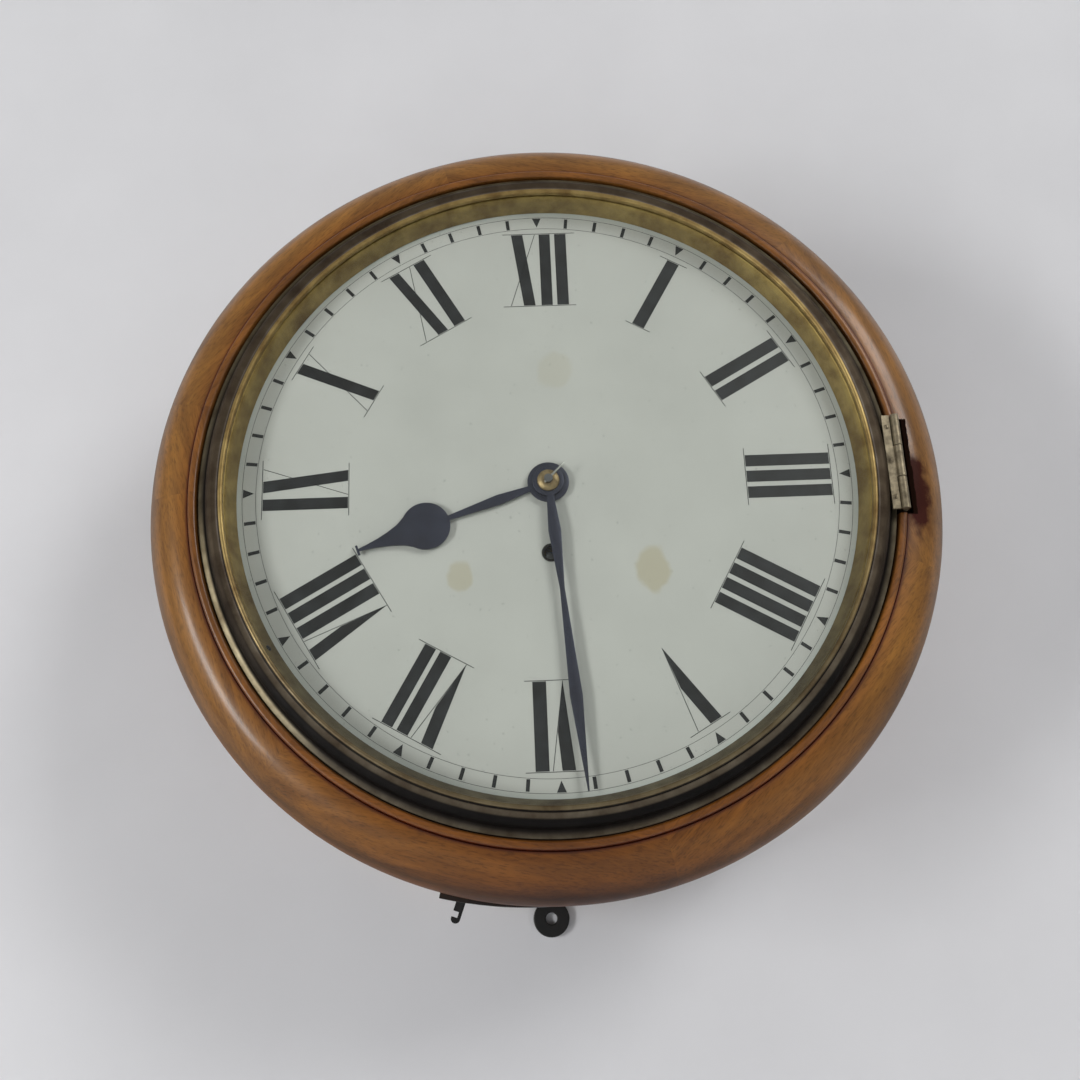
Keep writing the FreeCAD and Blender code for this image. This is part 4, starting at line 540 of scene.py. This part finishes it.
def hair(top, foot):
    return slant(top - HAIR, top + HAIR, foot - HAIR, foot + HAIR)


def serif(x0, x1, at):
    return [(x0, at - HAIR), (x1, at - HAIR), (x1, at + HAIR), (x0, at + HAIR)]


# The strokes of each hour from 12 round to 11, in mm across from the hour's own line.
numerals = [
    [slant(-13.3, -7.5, -8.0, -2.2), hair(-1.3, -14.4), bar(0.8, 6.4), bar(8.7, 14.5)],
    [bar(-2.4, 4.0)],
    [bar(-6.2, 0.0), bar(2.5, 8.6)],
    [bar(-11.0, -5.2), bar(-3.0, 2.7), bar(5.0, 10.8)],
    [bar(-14.2, -8.3), bar(-6.0, -0.2), bar(2.0, 7.8), bar(10.0, 15.6)],
    [vee(-6.4, -0.4, 2.0, 115.0, -1.2), hair(6.3, -1.2)],
    [vee(-6.7, -0.7, 0.6, 118.0, -2.5), hair(3.4, -2.5), bar(5.0, 11.2)],
    [vee(-12.8, -6.9, -4.8, 118.0, -7.8), hair(-1.8, -7.8), bar(0.0, 5.7), bar(7.9, 13.5)],
    [vee(-16.0, -10.2, -8.3, 117.5, -10.9), hair(-5.6, -10.9), bar(-4.2, 1.7), bar(4.1, 10.0),
     bar(12.1, 18.0)],
    [bar(-8.9, -3.2), slant(0.0, 5.8, 4.9, 10.4), hair(12.0, -2.0)],
    [slant(-6.7, -0.8, -1.6, 4.0), hair(5.0, -7.7)],
    [slant(-8.8, -3.4, -4.0, 1.5), hair(3.0, -11.0), bar(5.2, 11.3)],
]
head_overhang = 4.4
foot_overhang = 3.6
serif_gap = 0.4
pointed_hour = 5
bm = bmesh.new()
for hour, strokes in enumerate(numerals):
    turn = hour * 30
    for stroke in strokes:
        lay(bm, stroke, turn)
    heads = [x for stroke in strokes for x, r in stroke if r == HEAD]
    feet = [x for stroke in strokes for x, r in stroke if r == FOOT]
    lay(bm, serif(min(heads) - head_overhang, max(heads) + head_overhang, HEAD + serif_gap), turn)
    if hour != pointed_hour:
        lay(bm, serif(min(feet) - foot_overhang, max(feet) + foot_overhang, FOOT - serif_gap), turn)
minute_stroke = [(-0.85, 139.0), (0.85, 139.0), (0.85, 144.4), (-0.85, 144.4)]
five_minute_wedge = [(0, 139.4), (2.2, 144.6), (-2.2, 144.6)]
for minute in range(60):
    lay(bm, minute_stroke if minute % 5 else five_minute_wedge, minute * 6)
bmesh.ops.recalc_face_normals(bm, faces=bm.faces)
dial_enamel = enamel()
piece("dial_numerals", bm, "case", dial_enamel, sharp=20)
track_half = 0.09
for name, radius in (("track_outer_line", 145.0), ("track_inner_line", 138.6)):
    inner = radius - track_half
    outer = radius + track_half
    line = turned([(inner, DIAL), (outer, DIAL), (outer, DIAL + INK), (inner, DIAL + INK)], steps=180)
    piece(name, line, "case", dial_enamel)


# Winding eyelet: a small brass bush riveted into the dial round the winding square.
# Years of oily keys have blackened it, so it shows as a dark ring with a dull shine.
dress("winding_eyelet", metal("blackened_eyelet_brass", "2A2620", "13110E", 0.5, 0.6))


# Hands: flat blued steel, pierced by hand from sheet and filed with a slight round on the edges.
# The hour hand has a bulb drawn out to a point, the minute hand a long slim leaf.
# Old bluing is a dark slate with a cold shine that shifts a little along the hand.
blued_steel = metal("blued_hand_steel", "424454", "2E2F3A", 0.38, 0.6, grain=6.0)


def arc(x, z, radius, start, end, steps):
    """Points of a round part of a hand, angles in degrees from the hand's right-hand side."""
    angles = [math.radians(start + (end - start) * i / steps) for i in range(steps + 1)]
    return [(x + radius * math.cos(angle), z + radius * math.sin(angle)) for angle in angles]


def hand(name, half, bore, back, front, turn, body, node):
    """Saw the outline, mirrored from its right half, out of sheet; drill it and round its edges."""
    outline = half + [(-x, z) for x, z in half[::-1] if x > 0.01]
    hole = arc(0, 0, bore, 0, 345, 23)
    angle = math.radians(turn)
    bm = bmesh.new()
    rims = []
    for loop in (outline, hole):
        corners = [bm.verts.new(((x * math.cos(angle) + z * math.sin(angle)) * MM, -back * MM,
                                 (z * math.cos(angle) - x * math.sin(angle)) * MM)) for x, z in loop]
        rims += [bm.edges.new((a, b)) for a, b in zip(corners, corners[1:] + corners[:1])]
    bmesh.ops.triangle_fill(bm, use_beauty=True, use_dissolve=False, edges=rims)
    thicken(bm, bm.faces[:], (0, (back - front) * MM, 0), keep=True)
    bmesh.ops.recalc_face_normals(bm, faces=bm.faces)
    edges = [e for e in bm.edges if len(e.link_faces) == 2 and e.calc_face_angle() > math.radians(60)
             and all(v.co.y < -(front - 0.1) * MM for v in e.verts)]
    bmesh.ops.bevel(bm, geom=edges, offset=0.22 * MM, offset_type="OFFSET", affect="EDGES", segments=2,
                    profile=0.5, material=-1, clamp_overlap=True)
    return piece(name, bm, body, blued_steel, [node], sharp=30)


hour_half = arc(0, 0, 9.9, -90, 82.2, 16) + [(2.5, 25)]
hour_half += arc(0, 61.5, 11.5, -84.3, 48, 18) + [(5.4, 73.8), (3.6, 78.8), (2.2, 84.2), (1.2, 89.8)]
hour_half += [(0.6, 94.5), (2.4, 94.5), (2.4, 95.6)]
hand("blued_hour_hand", hour_half, 4.3, 131.6, 132.5, 251.2, "hour_work", "hour_hand")
minute_half = arc(0, 0, 7.5, -90, 76.9, 14) + [(3.0, 25), (1.15, 53), (2.9, 103), (0.35, 145.2)]
hand("blued_minute_hand", minute_half, 3.2, 133.6, 134.5, 175.4, "minute_work", "minute_hand")


# Hand collet and pin: a domed brass washer on the centre arbor, held by a steel taper pin.
# The washer is turned and rubbed dull, the pin is bright drawn steel pushed through the arbor.
collet_corners = [(2.06, 134.5), (5.3, 134.5), (5.3, 135.3), (3.2, 136.5), (2.06, 136.5)]
collet = turned(collet_corners, [(5.3, 135.3, 0.5, 3), (3.2, 136.5, 0.6, 3)], steps=64)
# Rubbed brass is pale where it is touched and brown in between.
collet_brass = metal("rubbed_collet_brass", "B29C72", "6A583C", 0.46, 0.7, grain=1.0)
piece("domed_hand_collet", collet, "minute_work", collet_brass, ["hand_collet"])
pin_low, pin_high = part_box("hand_pin")
pin_middle = (pin_low + pin_high) / 2
pin_way = Vector((1, 0, 1)).normalized()
pin_shift = 1.4
bm = bmesh.new()
bmesh.ops.create_cone(bm, cap_ends=True, segments=12, radius1=0.6 * MM, radius2=0.42 * MM, depth=13.4 * MM)
bmesh.ops.bevel(bm, geom=[e for e in bm.edges if e.calc_face_angle() > 1], offset=0.12 * MM,
                offset_type="OFFSET", affect="EDGES", segments=2, profile=0.5, material=-1)
lean = Vector((0, 0, 1)).rotation_difference(pin_way).to_matrix()
bmesh.ops.rotate(bm, verts=bm.verts, cent=(0, 0, 0), matrix=lean)
bmesh.ops.translate(bm, verts=bm.verts, vec=pin_middle + pin_way * pin_shift * MM)
# Bright steel is nearly white where it catches a lamp.
pin_steel = metal("bright_pin_steel", "D8D8D4", "A6A5A0", 0.3, 0.9)
piece("taper_hand_pin", bm, "centre_work", pin_steel, ["hand_pin"])


# Bezel: a spun brass ring that carries the glass, gone brown with old lacquer and handling.
# A bright rounded lip holds the glass, then come a dull round, a cut line and a cove down to the wood.
def tarnished_brass(name, bands, shaded_bands):
    """Lacquered brass gone brown, in rings of tone given as bands. A second, darker set of bands takes over
    towards the bottom as painted shade, and a pale painted reflection lies on the flange at lower left.
    Each band is a radius in mm and its colour."""
    material, tree, shader = surface(name, Metallic=0.75)
    where, axes, flat, radius = from_centre(tree)
    inmost, outmost = 150, 165
    across = add(tree, "ShaderNodeMapRange", {0: radius, 1: inmost * MM, 2: outmost * MM, 3: 0.0, 4: 1.0})
    rings, shaded_rings = [
        add(tree, "ShaderNodeValToRGB", {"Fac": across.outputs[0]},
            stops=[((at - inmost) / (outmost - inmost), linear(colour)) for at, colour in band]).outputs[0]
        for band in (bands, shaded_bands)]
    # The darker bands take over towards the bottom as painted shade.
    low = add(tree, "ShaderNodeMapRange", {0: axes[2], 1: -20 * MM, 2: -100 * MM, 3: 0.0, 4: 1.0})
    colour = add(tree, "ShaderNodeMix", {0: low.outputs[0], 6: rings, 7: shaded_rings}, **cover).outputs[2]
    # A pale painted reflection of a lamp on the outer flange at lower left.
    side = add(tree, "ShaderNodeVectorMath", {0: flat, 1: (-0.9, 0.0, -0.44)}, operation="DOT_PRODUCT")
    turned_to = add(tree, "ShaderNodeMath", {0: side.outputs["Value"], 1: radius}, operation="DIVIDE")
    flange_glint = add(tree, "ShaderNodeMapRange", {0: turned_to.outputs[0], 1: 0.92, 2: 0.99, 3: 0.0, 4: 0.75})
    outer = add(tree, "ShaderNodeMapRange", {0: radius, 1: 161.6 * MM, 2: 162.8 * MM, 3: 0.0, 4: 1.0})
    lit_flange = add(tree, "ShaderNodeMath", {0: flange_glint.outputs[0], 1: outer.outputs[0]}, operation="MULTIPLY")
    colour = add(tree, "ShaderNodeMix", {
        0: lit_flange.outputs[0], 6: colour, 7: linear("C4B896")}, **cover).outputs[2]
    patches = add(tree, "ShaderNodeTexNoise", {
        "Vector": where, "Scale": 1 / (14 * MM), "Detail": 6.0, "Roughness": 0.6})
    patina = add(tree, "ShaderNodeValToRGB", {"Fac": patches.outputs["Fac"]},
                 stops=[(0.3, linear("A99A8C")), (0.65, grey(1.0))])
    colour = add(tree, "ShaderNodeMix", {0: 1.0, 6: colour, 7: patina.outputs[0]}, **glaze).outputs[2]
    polish = add(tree, "ShaderNodeMapRange", {0: patches.outputs["Fac"], 1: 0.3, 2: 0.7, 3: 0.52, 4: 0.38})
    dull = add(tree, "ShaderNodeMapRange", {0: radius, 1: 153.6 * MM, 2: 154.2 * MM, 3: 0.0, 4: 0.16})
    rough = add(tree, "ShaderNodeMath", {0: polish.outputs[0], 1: dull.outputs[0]}, operation="ADD")
    relief = add(tree, "ShaderNodeBump", {
        "Height": patches.outputs["Fac"], "Strength": 0.12, "Distance": 0.2 * MM})
    lay_finish(tree, shader, colour, rough.outputs[0], relief.outputs[0])
    return material


# Tarnished brass shows dull gold on the lip, then brown out to the wood. Its nearly black rings are painted
# shade in the crease beside the lip and in the cove; the thin grey ring outside the crease is a painted
# highlight.
bezel_brass = tarnished_brass("tarnished_bezel_brass", [
    (151.0, "A08A55"), (153.0, "AC955F"), (153.5, "120D08"), (153.9, "120D08"), (154.3, "776E64"),
    (155.0, "4F4435"), (159.4, "4B4031"), (160.2, "0D0A07"), (161.5, "130F0B"), (164.2, "665E4A")], [
    # The second list, for the lower half, is darker still: painted shade.
    (151.0, "6E6247"), (153.0, "7A6E54"), (153.5, "120D08"), (153.9, "120D08"), (154.3, "6A6152"),
    (156.2, "5C5446"), (157.0, "100C09"), (160.4, "0B0806"), (161.8, "2C2722"), (164.2, "6A6252")])
bezel_corners = [(153.8, 130.4), (153.8, 141.2), (151.0, 141.2), (151.0, 143.9), (153.4, 143.9),
                 (153.6, 142.2), (154.2, 141.9), (158.9, 142.2), (160.2, 138.9), (160.4, 138.0),
                 (160.9, 134.9), (164.6, 134.2), (164.6, 130.4), (163.0, 130.4), (163.0, 133.0),
                 (155.4, 136.4), (155.4, 130.4)]
bezel_rounds = [(151.0, 143.9, 1.1, 4), (153.4, 143.9, 1.1, 4), (158.9, 142.2, 2.6, 6),
                (160.9, 134.9, 2.4, 5)]
piece("spun_bezel", turned(bezel_corners, bezel_rounds, steps=216), "bezel", bezel_brass, ["brass_bezel"])


# Sight ring: the polished brass slope between the glass and the dial, sprung into the bezel from behind
# and held by one small blackened screw at 8 o'clock. Its brass is yellow; its darker second list of bands is
# painted shade below.
sight_brass = tarnished_brass("polished_sight_brass", [
    (150.0, "9C8650"), (151.2, "AE965A"), (152.4, "98824E"), (153.2, "6B5B3C")], [
    (150.0, "6F6448"), (151.2, "7E7354"), (152.4, "6F6448"), (153.2, "584E38")])
sight_corners = [(147.5, 130.4), (151.4, 139.2), (153.0, 139.2), (153.0, 138.2), (152.4, 138.2),
                 (148.5, 130.4)]
piece("sight_slope", turned(sight_corners, [(151.4, 139.2, 0.3, 2)], steps=216), "bezel", sight_brass,
      ["sight_ring"])
screws("sight_ring_screw", "bezel", black_iron, 1.5, (0.787, -0.405, 0.464),
       [(-129.1, -136, -76.2)])


# Bezel hinge: a brass butt hinge at 3 o'clock. One leaf is soldered over the bezel's cove,
# the other stands in the mortise and is screwed to the wood.
# Its worn brass is pale on the knuckles and brown with grime between them.
hinge_brass = metal("worn_hinge_brass", "A0947A", "4E4536", 0.46, 0.7, grain=1.4)
leaf_ease = 0.2
eased("bezel_hinge_leaf", "bezel", hinge_brass, leaf_ease)
eased("bezel_hinge_fixed_leaf", "case", hinge_brass, leaf_ease)
screws("hinge_leaf_screws", "bezel", hinge_brass, 1.25, (0, -1, 0),
       [(161.6, -140.2, z) for z in (-16, 1.5, 19)])


# Glass: a flat disc of clear window glass, held under the bezel's lip.
# It is nearly unseen from the front and mirrors the room at a slant, with a little dust in the mirror.
# Both faces mirror alike, so the index is turned over on a face seen from inside the sheet.
glass_index = 1.36
glass = bpy.data.materials.new("clear_window_glass")
glass.use_nodes = True
tree = glass.node_tree
tree.nodes.clear()
where = add(tree, "ShaderNodeTexCoord").outputs["Object"]
dust = add(tree, "ShaderNodeTexNoise", {"Vector": where, "Scale": 1 / (60 * MM), "Detail": 4.0})
rough = add(tree, "ShaderNodeMapRange", {0: dust.outputs["Fac"], 1: 0.3, 2: 0.7, 3: 0.02, 4: 0.08})
clear = add(tree, "ShaderNodeBsdfTransparent", {"Color": linear("FAFCFA")})
mirror = add(tree, "ShaderNodeBsdfGlossy", {"Color": grey(1.0), "Roughness": rough.outputs[0]})
behind = add(tree, "ShaderNodeNewGeometry").outputs["Backfacing"]
index = add(tree, "ShaderNodeMapRange", {0: behind, 1: 0.0, 2: 1.0, 3: glass_index, 4: 1 / glass_index})
slanted = add(tree, "ShaderNodeFresnel", {"IOR": index.outputs[0]})
sheet = add(tree, "ShaderNodeMixShader", {0: slanted.outputs[0], 1: clear.outputs[0], 2: mirror.outputs[0]})
add(tree, "ShaderNodeOutputMaterial", {"Surface": sheet.outputs[0]})
dress("bezel_glass", glass)
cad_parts["bezel_glass"].visible_shadow = False


# Stage: a pale painted wall behind the clock and a pale floor well below it.
# A narrow window low at the left, a wide one at the upper right and a lamp behind give soft light.
def backdrop(name, corners, one_way):
    """A plain painted plane. The wall shows only from its front, so the back of the clock can be seen."""
    material, tree, shader = surface(f"{name}_paint", Roughness=0.8)
    where = add(tree, "ShaderNodeTexCoord").outputs["Object"]
    mottle = add(tree, "ShaderNodeTexNoise", {"Vector": where, "Scale": 1 / (160 * MM), "Detail": 5.0})
    tone = add(tree, "ShaderNodeValToRGB", {"Fac": mottle.outputs["Fac"]},
               stops=[(0.3, linear("D6D6D8")), (0.7, linear("DEDEE0"))])
    tree.links.new(tone.outputs[0], shader.inputs["Base Color"])
    if one_way:
        behind = add(tree, "ShaderNodeNewGeometry").outputs["Backfacing"]
        through = add(tree, "ShaderNodeBsdfTransparent")
        pick = add(tree, "ShaderNodeMixShader", {0: behind, 1: shader.outputs["BSDF"], 2: through.outputs[0]})
        tree.links.new(pick.outputs[0], tree.nodes["Material Output"].inputs["Surface"])
    bm = bmesh.new()
    bm.faces.new([bm.verts.new(corner) for corner in corners])
    mesh = bpy.data.meshes.new(name)
    bm.to_mesh(mesh)
    bm.free()
    mesh.materials.append(material)
    item = bpy.data.objects.new(name, mesh)
    bpy.context.scene.collection.objects.link(item)
    return item


reach = 4
floor_z = -0.9
wall_y = 0.0006
wall = backdrop("wall", [(-reach, wall_y, floor_z), (reach, wall_y, floor_z), (reach, wall_y, reach),
                         (-reach, wall_y, reach)], True)
wall.visible_shadow = False
backdrop("floor", [(-reach, -reach, floor_z), (reach, -reach, floor_z), (reach, reach, floor_z),
                   (-reach, reach, floor_z)], False)

world = bpy.data.worlds.new("studio")
world.use_nodes = True
bpy.context.scene.world = world
tree = world.node_tree
tree.nodes.clear()
where = add(tree, "ShaderNodeTexCoord").outputs["Generated"]
height = add(tree, "ShaderNodeSeparateXYZ", {0: where}).outputs[2]
sky = add(tree, "ShaderNodeMapRange", {0: height, 1: -0.2, 2: 1.0, 3: 0.0, 4: 1.0})
glow = add(tree, "ShaderNodeValToRGB", {"Fac": sky.outputs[0]},
           stops=[(0.0, grey(0.2)), (0.25, grey(0.1)), (0.6, grey(0.32)), (1.0, grey(0.9))])
light = add(tree, "ShaderNodeBackground", {"Color": glow.outputs[0], "Strength": 0.8})
seen = add(tree, "ShaderNodeBackground", {"Color": grey(0.36), "Strength": 1.0})
rays = add(tree, "ShaderNodeLightPath").outputs
shown = rays["Is Camera Ray"]
for mirrored in ("Is Glossy Ray", "Is Transmission Ray"):
    shown = add(tree, "ShaderNodeMath", {0: shown, 1: rays[mirrored]}, operation="MAXIMUM").outputs[0]
either = add(tree, "ShaderNodeMixShader", {0: shown, 1: light.outputs[0], 2: seen.outputs[0]})
add(tree, "ShaderNodeOutputWorld", {"Surface": either.outputs[0]})

for name, place, aim, width, tall, power in (
        ("left_window", (-1.8, -1.55, -0.32), (0, -0.1, 0), 0.42, 1.0, 25),
        ("right_window", (1.6, -1.9, 1.25), (0, -0.1, 0), 1.0, 1.0, 29),
        ("back_lamp", (0.9, 1.6, 1.2), (0, 0, 0), 1.4, 1.4, 20)):
    lamp = bpy.data.lights.new(name, "AREA")
    lamp.shape = "RECTANGLE"
    lamp.size = width
    lamp.size_y = tall
    lamp.energy = power
    item = bpy.data.objects.new(name, lamp)
    item.location = place
    item.rotation_euler = (Vector(aim) - Vector(place)).to_track_quat("-Z", "Y").to_euler()
    bpy.context.scene.collection.objects.link(item)


# Camera: below the dial's centre and a little to its left, looking up, as the photograph was taken.
# It was fitted to the rings of the dial and bezel, and leans by about two degrees.
camera = bpy.data.cameras.new("camera")
camera.sensor_width = 36
camera.lens = 39.3
eye = bpy.data.objects.new("camera", camera)
bpy.context.scene.collection.objects.link(eye)
eye_place = (-0.0166, -0.6574, -0.1933)
ahead = Vector((0.021, 0.954, 0.299)).normalized()
right = Vector((0.9992, -0.0084, -0.0398)).normalized()
right = (right - ahead * right.dot(ahead)).normalized()
above = right.cross(ahead)
eye.matrix_world = Matrix.Translation(eye_place) @ Matrix((right, above, -ahead)).transposed().to_4x4()
bpy.context.scene.camera = eye
bpy.context.scene.view_settings.view_transform = "Standard"
